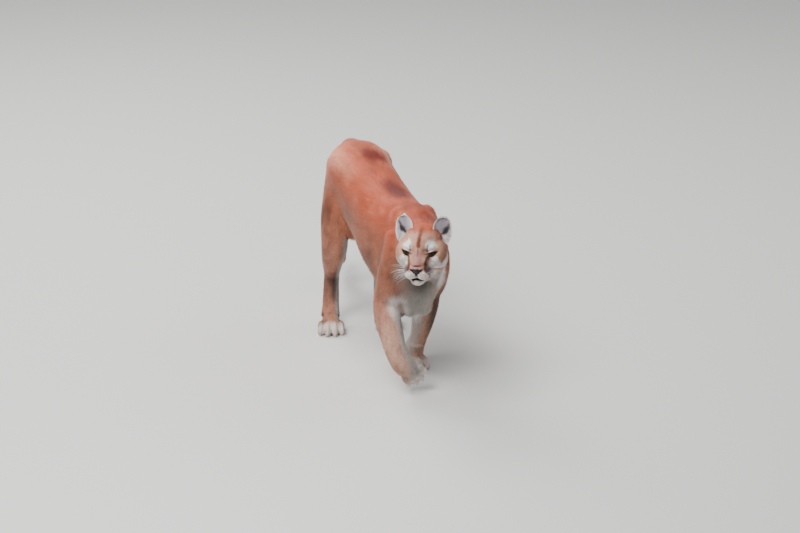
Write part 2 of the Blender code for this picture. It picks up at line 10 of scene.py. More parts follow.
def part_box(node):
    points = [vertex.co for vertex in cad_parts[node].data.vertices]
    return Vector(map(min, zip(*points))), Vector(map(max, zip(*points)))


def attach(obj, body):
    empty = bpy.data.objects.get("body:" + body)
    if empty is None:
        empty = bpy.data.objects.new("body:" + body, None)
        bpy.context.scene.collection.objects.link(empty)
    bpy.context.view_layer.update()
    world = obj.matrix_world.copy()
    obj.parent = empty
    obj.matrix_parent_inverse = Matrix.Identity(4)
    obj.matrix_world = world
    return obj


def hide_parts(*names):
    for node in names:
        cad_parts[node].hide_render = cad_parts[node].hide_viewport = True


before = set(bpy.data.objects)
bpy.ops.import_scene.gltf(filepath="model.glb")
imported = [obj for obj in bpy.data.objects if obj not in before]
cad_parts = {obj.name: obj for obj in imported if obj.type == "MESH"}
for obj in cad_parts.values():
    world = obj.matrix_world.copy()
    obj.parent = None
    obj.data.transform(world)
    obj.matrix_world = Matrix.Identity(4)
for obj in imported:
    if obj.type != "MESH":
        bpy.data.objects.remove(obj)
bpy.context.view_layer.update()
draw = np.random.default_rng(11)

# The head's pose and the places on it
headPose = {
    "centre": (0.886, -0.054, 0.5675),
    "yaw": -27.5,
    "pitch": 6.0,
    "eye": (0.0475, 0.0375, 0.008),
    "eyeTurnOut": 20.0,
    "eyeTurnUp": 6.0,
    "eyeSlant": 14.0,
    "eyeRadius": 0.0148,
    "eyeOpening": (0.0140, 0.0072),
    "nose": (0.118, 0.0, -0.0255),
    "ear": (-0.030, 0.059, 0.022),
}


def cosSin(degrees):
    return math.cos(math.radians(degrees)), math.sin(math.radians(degrees))


def headTurnMatrix(yaw, pitch):
    # a turn about the side axis that lowers the front, then one about the vertical
    cy, sy = cosSin(yaw)
    cp, sp = cosSin(pitch)
    return np.array([[cy * cp, -sy, cy * sp], [sy * cp, cy, sy * sp], [-sp, 0.0, cp]])


headTurn = headTurnMatrix(headPose["yaw"], headPose["pitch"])
headCentre = np.array(headPose["centre"])


def fromHead(points):
    return np.asarray(points, float) @ headTurn.T + headCentre


def toHead(points):
    return (np.asarray(points, float) - headCentre) @ headTurn


def boxMiddle(node):
    low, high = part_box(node)
    return (np.array(low) + np.array(high)) / 2


def frameShift():
    # where the frame puts the hips: the eyes' middle in the frame less their middle on the animal
    seen = (boxMiddle("eye_left") + boxMiddle("eye_right")) / 2
    forward, _, up = headPose["eye"]
    eyes = fromHead([(forward, 0.0, up)])[0]
    return np.array([seen[0] - eyes[1], seen[1] + eyes[0], 0.0])


hips = frameShift()


def turnToFrame(vectors):
    return np.stack([vectors[..., 1], -vectors[..., 0], vectors[..., 2]], -1)


def turnToAnimal(vectors):
    return np.stack([-vectors[..., 1], vectors[..., 0], vectors[..., 2]], -1)


def toFrame(points):
    return turnToFrame(np.asarray(points, float)) + hips


def toAnimal(points):
    return turnToAnimal(np.asarray(points, float) - hips)


def unit(vectors):
    return vectors / np.maximum(np.linalg.norm(vectors, axis=-1, keepdims=True), 1e-9)


def smoothStep(x, low, high):
    t = np.clip((x - low) / (high - low), 0, 1)
    return t * t * (3 - 2 * t)


def bell(x, middle, width):
    return np.exp(-(((x - middle) / width) ** 2))


def blend(a, b, share):
    return a + (b - a) * share


def reachOf(points, centre, sizes):
    # distance from a centre, over an ellipsoid's half sizes
    return np.linalg.norm((points - np.array(centre)) / np.array(sizes), axis=1)


def mirrored(points):
    # both sides laid over the left one
    return points * np.array([1, 0, 1]) + np.abs(points[:, 1:2]) * np.array([0, 1, 0])


def fullTurn(columns):
    return np.linspace(0, 2 * math.pi, columns, endpoint=False)


# The forms under the coat. Trunk sections: forward, top, height of the widest line, bottom, half width and
# squareness
trunkForm = np.array([
    (-0.225, 0.552, 0.532, 0.498, 0.028, 2.0),
    (-0.180, 0.578, 0.532, 0.440, 0.058, 2.0),
    (-0.100, 0.622, 0.530, 0.385, 0.086, 2.3),
    (-0.030, 0.655, 0.530, 0.376, 0.102, 2.7),
    (0.040, 0.654, 0.530, 0.375, 0.105, 2.8),
    (0.120, 0.645, 0.515, 0.380, 0.103, 2.6),
    (0.240, 0.625, 0.480, 0.358, 0.106, 2.5),
    (0.380, 0.611, 0.435, 0.312, 0.116, 2.3),
    (0.500, 0.612, 0.425, 0.277, 0.113, 2.3),
    (0.600, 0.630, 0.440, 0.256, 0.100, 2.2),
    (0.680, 0.636, 0.460, 0.272, 0.088, 2.1),
    (0.745, 0.615, 0.480, 0.345, 0.074, 2.1),
    (0.790, 0.585, 0.500, 0.400, 0.056, 2.0),
])
# Chains of a middle line with its half width across and half depth: forward, left, up, width, depth
neckForm = np.array([
    (0.640, 0.000, 0.500, 0.090, 0.140),
    (0.720, -0.006, 0.510, 0.088, 0.124),
    (0.790, -0.020, 0.530, 0.082, 0.102),
    (0.850, -0.038, 0.548, 0.072, 0.084),
    (0.895, -0.056, 0.562, 0.060, 0.066),
])
tailForm = np.array([
    (-0.150, 0.000, 0.556, 0.0360, 0.0360),
    (-0.208, 0.001, 0.530, 0.0345, 0.0345),
    (-0.258, 0.004, 0.486, 0.0310, 0.0310),
    (-0.292, 0.010, 0.412, 0.0270, 0.0270),
    (-0.312, 0.018, 0.328, 0.0255, 0.0255),
    (-0.330, 0.028, 0.240, 0.0250, 0.0250),
    (-0.358, 0.040, 0.160, 0.0250, 0.0250),
    (-0.402, 0.054, 0.105, 0.0250, 0.0250),
    (-0.456, 0.068, 0.090, 0.0245, 0.0245),
    (-0.505, 0.080, 0.110, 0.0220, 0.0220),
    (-0.535, 0.087, 0.145, 0.0150, 0.0150),
])
legForms = {
    "foreLeft": np.array([
        (0.640, 0.060, 0.540, 0.036, 0.068),
        (0.652, 0.074, 0.450, 0.040, 0.070),
        (0.600, 0.079, 0.370, 0.044, 0.070),
        (0.545, 0.076, 0.300, 0.045, 0.054),
        (0.525, 0.074, 0.240, 0.045, 0.049),
        (0.498, 0.071, 0.165, 0.038, 0.040),
        (0.468, 0.068, 0.105, 0.031, 0.032),
        (0.450, 0.061, 0.068, 0.033, 0.033),
        (0.452, 0.053, 0.038, 0.035, 0.030),
    ]),
    "foreRight": np.array([
        (0.640, -0.060, 0.545, 0.036, 0.068),
        (0.664, -0.078, 0.465, 0.040, 0.072),
        (0.640, -0.084, 0.380, 0.044, 0.070),
        (0.612, -0.092, 0.300, 0.044, 0.055),
        (0.640, -0.097, 0.255, 0.046, 0.050),
        (0.690, -0.097, 0.200, 0.042, 0.042),
        (0.728, -0.093, 0.154, 0.038, 0.037),
        (0.738, -0.078, 0.120, 0.038, 0.035),
        (0.730, -0.057, 0.094, 0.037, 0.031),
    ]),
    "hindLeft": np.array([
        (-0.030, 0.055, 0.560, 0.038, 0.100),
        (-0.015, 0.066, 0.480, 0.044, 0.118),
        (0.020, 0.086, 0.400, 0.047, 0.106),
        (0.062, 0.103, 0.335, 0.044, 0.078),
        (0.040, 0.107, 0.275, 0.040, 0.055),
        (-0.012, 0.107, 0.220, 0.034, 0.043),
        (-0.060, 0.103, 0.170, 0.028, 0.038),
        (-0.050, 0.098, 0.120, 0.029, 0.031),
        (-0.022, 0.091, 0.065, 0.031, 0.029),
        (0.010, 0.087, 0.038, 0.035, 0.027),
    ]),
    "hindRight": np.array([
        (-0.030, -0.055, 0.560, 0.038, 0.100),
        (-0.015, -0.066, 0.480, 0.044, 0.118),
        (0.020, -0.088, 0.400, 0.047, 0.106),
        (0.068, -0.107, 0.335, 0.044, 0.078),
        (0.036, -0.103, 0.275, 0.040, 0.055),
        (-0.020, -0.090, 0.220, 0.034, 0.043),
        (-0.075, -0.074, 0.170, 0.028, 0.038),
        (-0.062, -0.080, 0.120, 0.029, 0.031),
        (-0.030, -0.092, 0.065, 0.031, 0.029),
        (0.000, -0.102, 0.038, 0.035, 0.027),
    ]),
}
# Feet: place under the pad, the way the toes point, the way the foot's back faces, and width
paws = {
    "foreLeft": ((0.458, 0.048, 0.000), (1.0, -0.05, 0.0), (0.0, 0.0, 1.0), 1.0),
    "foreRight": ((0.704, -0.048, 0.093), (-0.21, 0.60, -0.77), (0.973, 0.043, -0.239), 0.92),
    "hindLeft": ((0.045, 0.083, 0.000), (1.0, -0.07, 0.0), (0.0, 0.0, 1.0), 1.0),
    "hindRight": ((0.038, -0.112, 0.000), (1.0, -0.27, 0.0), (0.0, 0.0, 1.0), 1.0),
}
# A foot's shapes on its own axes
pawForm = {
    "blocks": (  # place, half sizes and pitch of the pad and the instep
        ((0.0, 0.0, 0.021), (0.046, 0.037, 0.027), 0),
        ((-0.010, 0.0, 0.036), (0.038, 0.030, 0.020), 30),
    ),
    "toes": ((0.054, 0.0124, 3.0), (0.041, 0.0345, 12.0)),  # forward, left, turned out
    "toeParts": (  # back, up and half sizes of the tip and the knuckle
        (0.0, 0.0145, (0.0245, 0.0120, 0.0195)),
        (0.022, 0.026, (0.0230, 0.0110, 0.0160)),
    ),
    "hock": ((-0.022, 0.0, 0.004), (0.017, 0.017, 0.030), -25),
}
# Muscles on both sides: centre, half sizes along, across and up, and pitch
muscles = (
    ((0.625, 0.052, 0.552), (0.070, 0.030, 0.074), -18.0),  # shoulder blade
    ((0.575, 0.076, 0.420), (0.076, 0.034, 0.078), 20.0),  # back of the upper arm
    ((0.690, 0.050, 0.420), (0.056, 0.042, 0.075), 0.0),  # breast
    ((0.600, 0.044, 0.278), (0.052, 0.030, 0.046), 0.0),  # loose skin between the elbow and the breast
    ((-0.040, 0.048, 0.552), (0.080, 0.042, 0.058), 0.0),  # rump
    ((-0.062, 0.060, 0.425), (0.045, 0.036, 0.125), -28.0),  # back of the thigh
    ((0.110, 0.056, 0.408), (0.068, 0.026, 0.056), 30.0),  # fold of the flank
    ((-0.075, 0.008, 0.609), (0.075, 0.028, 0.040), -15.0),  # root of the tail
    ((0.655, 0.022, 0.300), (0.040, 0.034, 0.052), 0.0),  # breast between the forelegs
)
outerHip = ((0.000, 0.084, 0.580), (0.062, 0.034, 0.045))  # the left hip, which the step carries out
# Soft shapes of the head: centre, half sizes along, across and up
headForm = (
    ((-0.020, 0.000, 0.012), (0.080, 0.066, 0.062)),  # braincase
    ((0.022, 0.000, 0.030), (0.052, 0.045, 0.036)),  # forehead
    ((0.008, 0.049, -0.012), (0.058, 0.037, 0.047)),  # cheekbone
    ((-0.022, 0.047, -0.040), (0.052, 0.036, 0.043)),  # jaw muscle
    ((0.040, 0.030, 0.026), (0.026, 0.024, 0.015)),  # brow
    ((0.058, 0.016, -0.010), (0.048, 0.024, 0.028)),  # side of the muzzle
    ((0.099, 0.0205, -0.0415), (0.029, 0.0235, 0.0235)),  # whisker pad
    ((0.106, 0.000, -0.048), (0.013, 0.012, 0.0130)),  # middle of the upper lip
    ((0.074, 0.027, -0.039), (0.034, 0.020, 0.022)),  # cheek end of the lip
    ((0.083, 0.000, -0.073), (0.032, 0.026, 0.020)),  # chin
    ((0.044, 0.022, -0.066), (0.050, 0.024, 0.023)),  # lower jaw
    ((-0.005, 0.000, -0.070), (0.060, 0.040, 0.030)),  # throat
)
noseBridge = np.array([
    (0.030, 0.000, 0.036, 0.0240, 0.0240),
    (0.062, 0.000, 0.018, 0.0190, 0.0190),
    (0.090, 0.000, -0.006, 0.0175, 0.0175),
    (0.107, 0.000, -0.021, 0.0160, 0.0160),
])
lipLine = np.array([
    (0.1180, 0.000, -0.0600),
    (0.1130, 0.010, -0.0640),
    (0.1030, 0.021, -0.0655),
    (0.0850, 0.032, -0.0620),
    (0.0640, 0.041, -0.0550),
])
philtrum = np.array([(0.1230, 0.0, -0.0400), (0.1210, 0.0, -0.0500), (0.1160, 0.0, -0.0605)])
skinForm = {
    "cell": 0.0026,
    "bodySoftness": 0.0115,  # radius over which joins are smoothed
    "headSoftness": 0.0058,
    "bodyTriangles": 36000,
    "faceMiddle": (0.060, 0.0, -0.015),  # the part of the head with the finest faces
    "faceReach": 0.078,
    "headMiddle": (0.03, 0, -0.01),
    "headEnds": (0.100, 0.140),  # distances over which the head, and below a foot, gives way to the body
    "footEnds": (0.050, 0.110),
    "lipGroove": (0.0024, 0.0022),  # depth and half width
    "cleftGroove": (0.0020, 0.0018),
}


def curveThrough(rows, steps):
    # a smooth curve through the rows: cubic pieces, whose slope at a row is half the step between
    # the rows beside it
    padded = np.concatenate([rows[:1], rows, rows[-1:]])
    a, b, c, d = (padded[i:len(padded) - 3 + i, None] for i in range(4))
    t = (np.arange(steps) / steps)[None, :, None]
    made = 0.5 * (2 * b + (c - a) * t + (2 * a - 5 * b + 4 * c - d) * t**2 + (3 * b - a - 3 * c + d) * t**3)
    return np.concatenate([made.reshape(-1, rows.shape[1]), rows[-1:]])


def ringFaces(rows, columns):
    # four-sided faces between neighbouring rings, with a fan of triangles to a middle point at each end
    j = np.arange(columns)
    k = (j + 1) % columns
    i = np.arange(rows - 1)[:, None] * columns
    quads = np.stack([i + j, i + k, i + columns + k, i + columns + j], -1)
    end = (rows - 1) * columns
    first, last = (np.full(columns, rows * columns + n) for n in range(2))
    fans = [np.stack([k, j, first], -1), np.stack([end + j, end + k, last], -1)]
    return quads.reshape(-1, 4), np.concatenate(fans)


def closedRings(points):
    # a surface through rings, closed at both ends; points is rows by columns by 3
    ends = points[[0, -1]].mean(1)
    quads, fans = ringFaces(points.shape[0], points.shape[1])
    return np.concatenate([points.reshape(-1, 3), ends]), quads.tolist() + fans.tolist()


def tube(rows, columns=24, side=(0.0, 1.0, 0.0)):
    # ellipses square to a path: width along the side axis, depth along what is square to both
    centres = rows[:, :3]
    along = unit(np.gradient(centres, axis=0))
    across = unit(np.array(side) - along * (along @ np.array(side))[:, None])
    deep = np.cross(along, across)
    turn = fullTurn(columns)[None, :, None]
    ring = across[:, None] * np.cos(turn) * rows[:, 3, None, None]
    ring = ring + deep[:, None] * np.sin(turn) * rows[:, 4, None, None]
    return closedRings(centres[:, None] + ring)


def ball(centre, halfSizes, axes=np.eye(3), columns=24):
    # an ellipsoid: circles of latitude scaled by the half sizes, turned to the axes (forward, left, up rows)
    rise = np.linspace(-0.5, 0.5, columns // 2 + 1)[1:-1] * math.pi
    rise, turn = np.meshgrid(rise, fullTurn(columns), indexing="ij")
    points = np.stack([np.cos(rise) * np.cos(turn), np.cos(rise) * np.sin(turn), np.sin(rise)], -1)
    made, faces = closedRings((points * np.array(halfSizes)) @ np.array(axes) + np.array(centre))
    poles = np.array([[0, 0, -halfSizes[2]], [0, 0, halfSizes[2]]])
    made[-2:] = poles @ np.array(axes) + np.array(centre)
    return made, faces


def trunkSurface(columns=40):
    # rounded square sections: the half width times the cosine to the power of 2 over the squareness, and the
    # height above and below the widest line likewise with the sine
    forward, top, wide, bottom, width, square = curveThrough(trunkForm, 6).T[..., None]
    turn = fullTurn(columns)[None]
    c, s = np.cos(turn), np.sin(turn)
    left = width * np.sign(c) * np.abs(c) ** (2 / square)
    up = np.where(s > 0, top - wide, wide - bottom) * np.sign(s) * np.abs(s) ** (2 / square)
    return closedRings(np.stack([forward + 0 * turn, left, wide + up], -1))


def pitched(degrees):
    # rows are the forward, left and up axes of a piece whose front is lowered
    c, s = cosSin(degrees)
    return np.array([[c, 0, -s], [0, 1, 0], [s, 0, c]])


def pawAxes(name):
    _, toes, back, _ = paws[name]
    forward = unit(np.array(toes))
    left = unit(np.cross(np.array(back), forward))
    return np.array([forward, left, np.cross(forward, left)])


def pawSurfaces(name):
    # a pad, an instep, and four toes each with a knuckle behind its tip
    place, _, _, width = paws[name]
    axes = pawAxes(name)
    place = np.array(place)
    made = []
    for offset, (long, wide, high), pitch in pawForm["blocks"]:
        made.append(ball(place + np.array(offset) @ axes, (long, wide * width, high), pitched(pitch) @ axes))
    for side in (1, -1):
        for forward, left, turn in pawForm["toes"]:
            c, s = cosSin(side * turn)
            toeAxes = np.array([[c, s, 0], [-s, c, 0], [0, 0, 1]]) @ axes
            for back, up, sizes in pawForm["toeParts"]:
                toe = place + np.array([forward - back, side * left * width, up]) @ axes
                made.append(ball(toe, sizes, toeAxes, 20))
    return made


def formSurfaces():
    made = [trunkSurface(), tube(curveThrough(neckForm, 5), 32), tube(curveThrough(tailForm, 6), 20)]
    made.append(ball(tailForm[-1, :3], (tailForm[-1, 3],) * 3, columns=16))
    for (forward, left, up), sizes, pitch in muscles:
        for side in (1, -1):
            made.append(ball((forward, side * left, up), sizes, pitched(pitch)))
    made.append(ball(*outerHip))
    for name, rows in legForms.items():
        made.append(tube(curveThrough(rows, 6)))
        made += pawSurfaces(name)
    offset, sizes, pitch = pawForm["hock"]
    for name in ("hindLeft", "hindRight"):
        made.append(ball(legForms[name][6, :3] + np.array(offset), sizes, pitched(pitch), 16))
    for (forward, left, up), sizes in headForm:
        for side in (1, -1) if left else (1,):
            made.append(ball(fromHead((forward, side * left, up)), sizes, headTurn.T))
    bridge = curveThrough(noseBridge, 5)
    bridge[:, :3] = fromHead(bridge[:, :3])
    made.append(tube(bridge, 24, headTurn.T[1]))
    return made


def placed(name, data):
    made = bpy.data.objects.new(name, data)
    bpy.context.scene.collection.objects.link(made)
    return made


def newObject(name, points, faces):
    mesh = bpy.data.meshes.new(name)
    points = np.asarray(points, np.float32)
    if isinstance(faces, np.ndarray):
        mesh.vertices.add(len(points))
        mesh.vertices.foreach_set("co", points.ravel())
        mesh.loops.add(faces.size)
        mesh.loops.foreach_set("vertex_index", faces.astype(np.int32).ravel())
        mesh.polygons.add(len(faces))
        mesh.polygons.foreach_set("loop_start", np.arange(0, faces.size, faces.shape[1], dtype=np.int32))
        mesh.update(calc_edges=True)
    else:
        mesh.from_pydata(points.tolist(), [], faces)
    mesh.shade_smooth()
    return placed(name, mesh)


def joined(surfaces):
    points, faces, start = [], [], 0
    for part, partFaces in surfaces:
        points.append(part)
        faces += [[start + v for v in face] for face in partFaces]
        start += len(part)
    return np.concatenate(points), faces


def applyModifiers(made):
    graph = bpy.context.evaluated_depsgraph_get()
    mesh = bpy.data.meshes.new_from_object(made.evaluated_get(graph))
    made.modifiers.clear()
    made.data = mesh


def readOut(items, key, each, kind):
    values = np.empty(len(items) * each, kind)
    items.foreach_get(key, values)
    return values.reshape(-1, each)


def pointsOf(made):
    return readOut(made.data.vertices, "co", 3, np.float32).astype(float)


def normalsOf(made):
    return readOut(made.data.vertex_normals, "vector", 3, np.float32).astype(float)


def edgesOf(made):
    return readOut(made.data.edges, "vertices", 2, np.int32)


def trianglesOf(made):
    return readOut(made.data.polygons, "vertices", 3, np.int32)


def setPoints(made, points):
    made.data.vertices.foreach_set("co", points.astype(np.float32).ravel())
    made.data.update()


def fused(name, surfaces, cell):
    # closed surfaces that overlap become one, on a lattice of cells
    points, faces = joined(surfaces)
    made = newObject(name, toFrame(points), faces)
    fuse = made.modifiers.new("fuse", "REMESH")
    fuse.mode = "VOXEL"
    fuse.voxel_size = cell
    applyModifiers(made)
    return made


def faceOutward(made):
    shape = bmesh.new()
    shape.from_mesh(made.data)
    bmesh.ops.recalc_face_normals(shape, faces=shape.faces)
    shape.to_mesh(made.data)
    shape.free()
    made.data.shade_smooth()


def relaxed(points, edges, strength, times):
    # each point moves towards the mean of its neighbours by its own strength, several times
    count = len(points)
    a, b = edges.T
    share = np.maximum(np.bincount(a, minlength=count) + np.bincount(b, minlength=count), 1)
    for _ in range(times):
        mean = np.stack([
            np.bincount(a, points[b, k], count) + np.bincount(b, points[a, k], count) for k in range(3)
        ], -1) / share[:, None]
        points = points + strength[:, None] * (mean - points)
    return points


def relaxTimes(softness, cell):
    # steps of relaxing that smooth over a radius
    return max(1, round(2 * (softness / cell) ** 2))


def headShare(animal):
    # 1 on the head, falling to 0 over the neck behind it
    away = np.linalg.norm(toHead(animal) - np.array(skinForm["headMiddle"]), axis=-1)
    return 1 - smoothStep(away, *skinForm["headEnds"])


def footShare(animal):
    share = np.zeros(len(animal))
    for name in legForms:
        place = np.array(paws[name][0]) + np.array([0.02, 0.0, 0.02]) @ pawAxes(name)
        away = np.linalg.norm(animal - place, axis=-1)
        share = np.maximum(share, 1 - smoothStep(away, *skinForm["footEnds"]))
    return share


def makeSkinForm():
    made = fused("skin", formSurfaces(), skinForm["cell"])
    points, edges = pointsOf(made), edgesOf(made)
    animal = toAnimal(points)
    head, foot = headShare(animal), footShare(animal)
    for softness, share in (
        (skinForm["headSoftness"], np.ones(len(points))),
        (skinForm["bodySoftness"], (1 - head) * (1 - foot)),
    ):
        points = relaxed(points, edges, 0.5 * share, relaxTimes(softness, skinForm["cell"]))
    setPoints(made, points)
    group = made.vertex_groups.new(name="body")
    share = (1 - head) * (1 - 0.9 * foot)
    for level in range(1, 11):
        group.add(np.nonzero(np.round(share * 10) == level)[0].tolist(), level / 10, "REPLACE")
    thin = made.modifiers.new("thin", "DECIMATE")
    thin.vertex_group = "body"
    total = 2 * len(made.data.polygons)
    inBody = 2 * np.count_nonzero(share > 0.5)
    thin.ratio = min(1.0, (total - inBody + skinForm["bodyTriangles"]) / total)
    applyModifiers(made)
    made.vertex_groups.clear()
    return made


def inFace(points):
    away = np.linalg.norm(toHead(toAnimal(points)) - np.array(skinForm["faceMiddle"]), axis=-1)
    return away < skinForm["faceReach"]


def refineFace(made):
    # every edge of the face is halved once
    shape = bmesh.new()
    shape.from_mesh(made.data)
    near = inFace(pointsOf(made))
    edges = [edge for edge in shape.edges if near[edge.verts[0].index] and near[edge.verts[1].index]]
    bmesh.ops.subdivide_edges(shape, edges=edges, cuts=1, use_grid_fill=True)
    bmesh.ops.triangulate(shape, faces=shape.faces)
    shape.to_mesh(made.data)
    shape.free()
    points = pointsOf(made)
    setPoints(made, relaxed(points, edgesOf(made), 0.5 * inFace(points), 3))


def segmentDistance(points, path):
    # distance to the nearest point of a bent line, and how far along it that point is, from 0 to 1
    path = np.asarray(path, float)
    best = np.full(len(points), 1e9)
    along = np.zeros(len(points))
    lengths = np.linalg.norm(np.diff(path, axis=0), axis=1)
    passed = np.concatenate([[0], np.cumsum(lengths)])
    for k, (a, b) in enumerate(zip(path, path[1:])):
        t = np.clip(((points - a) @ (b - a)) / ((b - a) @ (b - a)), 0, 1)
        away = np.linalg.norm(points - a - t[:, None] * (b - a), axis=1)
        closer = away < best
        best = np.where(closer, away, best)
        along = np.where(closer, (passed[k] + t * lengths[k]) / passed[-1], along)
    return best, along


coatDepth = {"body": 0.0060, "belly": 0.0080, "leg": 0.0040, "paw": 0.0022, "face": 0.0022, "tail": 0.0070}
guideReach = {"trunk": 0.125, "neck": 0.095, "tail": 0.034}


def bellyShare(animal):
    return smoothStep(0.42 - animal[:, 2], 0, 0.1)


def limbShares(animal):
    # how much each guide line rules a point: (radius over distance) to the eighth power, made to add up to 1
    guides = {"trunk": trunkForm[:, [0, 0, 2]] * np.array([1, 0, 1]), "neck": neckForm, "tail": tailForm}
    guides |= {name: rows[2:] for name, rows in legForms.items()}
    shares = {}
    for name, rows in guides.items():
        away, along = segmentDistance(animal, curveThrough(rows[:, :3], 3))
        if name in legForms:
            radius = np.interp(along, np.linspace(0, 1, len(rows)), rows[:, 3:].mean(1)) + 0.006
        else:
            radius = guideReach[name]
        shares[name] = (radius / np.maximum(away, 0.004)) ** 8
    head = headShare(animal)
    total = sum(shares.values())
    shares = {name: (1 - head) * share / total for name, share in shares.items()}
    shares["head"] = head
    return shares


def depthAt(animal, shares):
    # the coat's depth over the skin
    body = blend(coatDepth["body"], coatDepth["belly"], bellyShare(animal))
    legs = sum(shares[name] for name in legForms)
    foot = footShare(animal)
    depth = (shares["trunk"] + shares["neck"]) * body + shares["tail"] * coatDepth["tail"]
    depth = depth + legs * coatDepth["leg"] * smoothStep(animal[:, 2], -0.1, 0.15)
    face = smoothStep(toHead(animal)[:, 0], -0.03, 0.03)
    depth = depth + shares["head"] * (coatDepth["face"] * face + coatDepth["leg"] * (1 - face))
    return depth * (1 - foot) + coatDepth["paw"] * foot


def laidOn(tree, path):
    # the path's points moved to the nearest points of a surface, in head coordinates
    near = [tree.find_nearest(Vector(point))[0] for point in toFrame(fromHead(curveThrough(path, 6)))]
    return toHead(toAnimal(np.array(near)))


def shapeSkin(made):
    # the skin lies under the coat; lips and philtrum are grooves
    points, normals = pointsOf(made), normalsOf(made)
    animal = toAnimal(points)
    depth = depthAt(animal, limbShares(animal))
    soles = smoothStep(points[:, 2], 0.001, 0.010)
    head = mirrored(toHead(animal))
    lips, cleft = (segmentDistance(head, path)[0] for path in (lipPath, cleftPath))
    groove = 0
    for away, (deep, half) in ((lips, skinForm["lipGroove"]), (cleft, skinForm["cleftGroove"])):
        groove = groove + deep * bell(away, 0, half)
    points = points - normals * (depth * soles + groove)[:, None]
    points[:, 2] = np.maximum(points[:, 2], 0.0003)
    setPoints(made, points)
    return np.minimum(lips, 0.7 * cleft)


# Eyes: lids are rings round an almond on a ball about the eye's middle
lids = {
    "upper": 0.80,
    "wall": 0.0022,
    "edge": 0.0006,  # the wall where it meets the opening
    "reach": 30.0,
    "around": 72,
    "tucks": (0.0012, 0.0022),  # how far the first and the last ring dip in
}


def rotation(axis, degrees):
    return np.array(Matrix.Rotation(math.radians(degrees), 3, axis))


def eyeAxes(side):
    # rows in head coordinates: out along the gaze, towards the eye's outer corner, up, with the slant
    gaze, left, up = headTurnMatrix(side * headPose["eyeTurnOut"], -headPose["eyeTurnUp"]).T
    c, s = cosSin(headPose["eyeSlant"])
    outer = side * left
    return np.array([gaze, c * outer + s * up, c * up - s * outer])


def eyeMiddle(side):
    forward, left, up = headPose["eye"]
    return np.array([forward, side * left, up])


def almondAngle(turn):
    # the angle from the gaze to the opening's edge, in the direction turn (0 is the outer corner)
    long, high = headPose["eyeOpening"]
    t = np.linspace(0, 2 * math.pi, 721)
    y, z = long * np.cos(t), high * np.sign(np.sin(t)) * np.abs(np.sin(t)) ** 1.3
    z = np.where(z > 0, z * lids["upper"], z)  # the upper lid hangs a little
    way = np.unwrap(np.arctan2(z, y))
    size = np.hypot(y, z)
    around = np.mod(turn, 2 * math.pi)
    return np.arcsin(np.interp(around, way, size) / (headPose["eyeRadius"] + lids["wall"]))


def lidProfile(past, skinReach):
    # distance from the eye's middle, from how far past the opening's edge it is (in degrees) and the skin's
    # own distance
    wall = blend(lids["edge"], lids["wall"], np.sqrt(np.clip(past / 5, 0, 1)))
    rim = headPose["eyeRadius"] + wall
    ease = smoothStep(past, 6, lids["reach"] - 4)
    return rim + (np.maximum(skinReach, rim) - rim) * ease


def eyeCoordinates(animal, side):
    # distance from the eye's middle, angle past the opening's edge in degrees, and direction round it
    local = (toHead(animal) - eyeMiddle(side)) @ eyeAxes(side).T
    away = np.linalg.norm(local, axis=1)
    turn = np.arctan2(local[:, 2], local[:, 1])
    past = np.degrees(np.arccos(np.clip(local[:, 0] / np.maximum(away, 1e-6), -1, 1)) - almondAngle(turn))
    return away, past, turn


def waysRound(angle, turn):
    # directions at an angle from the first axis, in the direction turn round it
    return np.stack([np.cos(angle), np.sin(angle) * np.cos(turn), np.sin(angle) * np.sin(turn)], -1)


def makeLids(side, tree):
    rows = np.array([-1.0, 0, 0.7, 2, 4, 7, 10, 13, 16, 19, 22, 25, 28, 31])
    past, turn = np.meshgrid(rows, fullTurn(lids["around"]), indexing="ij")
    ways = waysRound(almondAngle(turn) + np.radians(past), turn) @ eyeAxes(side) @ headTurn.T
    middle = fromHead(eyeMiddle(side))
    start, frameWays = Vector(toFrame(middle)), turnToFrame(ways)
    reach = np.full(past.shape, headPose["eyeRadius"])
    for index in np.ndindex(past.shape):
        hit = tree.ray_cast(start, Vector(frameWays[index]))
        if hit[0] is not None:
            reach[index] = hit[3]
    away = lidProfile(past, reach)
    away[0] = headPose["eyeRadius"] - lids["tucks"][0]
    away[-1] = reach[-1] - lids["tucks"][1]
    points = middle + ways * away[..., None]
    quads, _ = ringFaces(len(rows), lids["around"])
    if side > 0:
        quads = quads[:, ::-1]
    return toFrame(points.reshape(-1, 3)), np.concatenate([quads[:, [0, 1, 2]], quads[:, [0, 2, 3]]])


def sinkBehindEyes(made):
    # the skin passes behind each eye and under its lids
    animal = toAnimal(pointsOf(made))
    under = lids["reach"] - 12, lids["reach"] - 2
    for side in (1, -1):
        away, past, _ = eyeCoordinates(animal, side)
        near = (away < 0.040) & (past < lids["reach"])
        target = lidProfile(past, away) - 0.0018 * (1 - smoothStep(past, *under))
        target = np.where(past < 1.5, np.minimum(target, headPose["eyeRadius"] - 0.0035), target)
        middle = fromHead(eyeMiddle(side))
        moved = middle + (animal - middle) * (np.minimum(away, target) / np.maximum(away, 1e-6))[:, None]
        animal = np.where(near[:, None], moved, animal)
    setPoints(made, toFrame(animal))


# Ears: a leaf bent round its length, open to the front, with a wall that thins towards its rim
ears = {
    "height": 0.076,
    "halfWidth": 0.032,
    "widest": 0.38,
    "roundness": 3.4,
    "footWidth": 0.62,
    "wall": (0.0034, 0.0014),
    "turns": (-8.0, 9.0, 22.0),
    "rows": 30,
    "columns": 27,
}


def earAxes(side):
    # rows in head coordinates: the cup opens along the first, the second is to the left, the third up the ear
    x, y, z = ears["turns"]
    turn = rotation("Z", side * z) @ rotation("Y", side * y) @ rotation("X", x)
    # the turn is given about left, back and up axes
    left, back, up = turnToAnimal(turn.T)
    return np.array([-back, left, up])


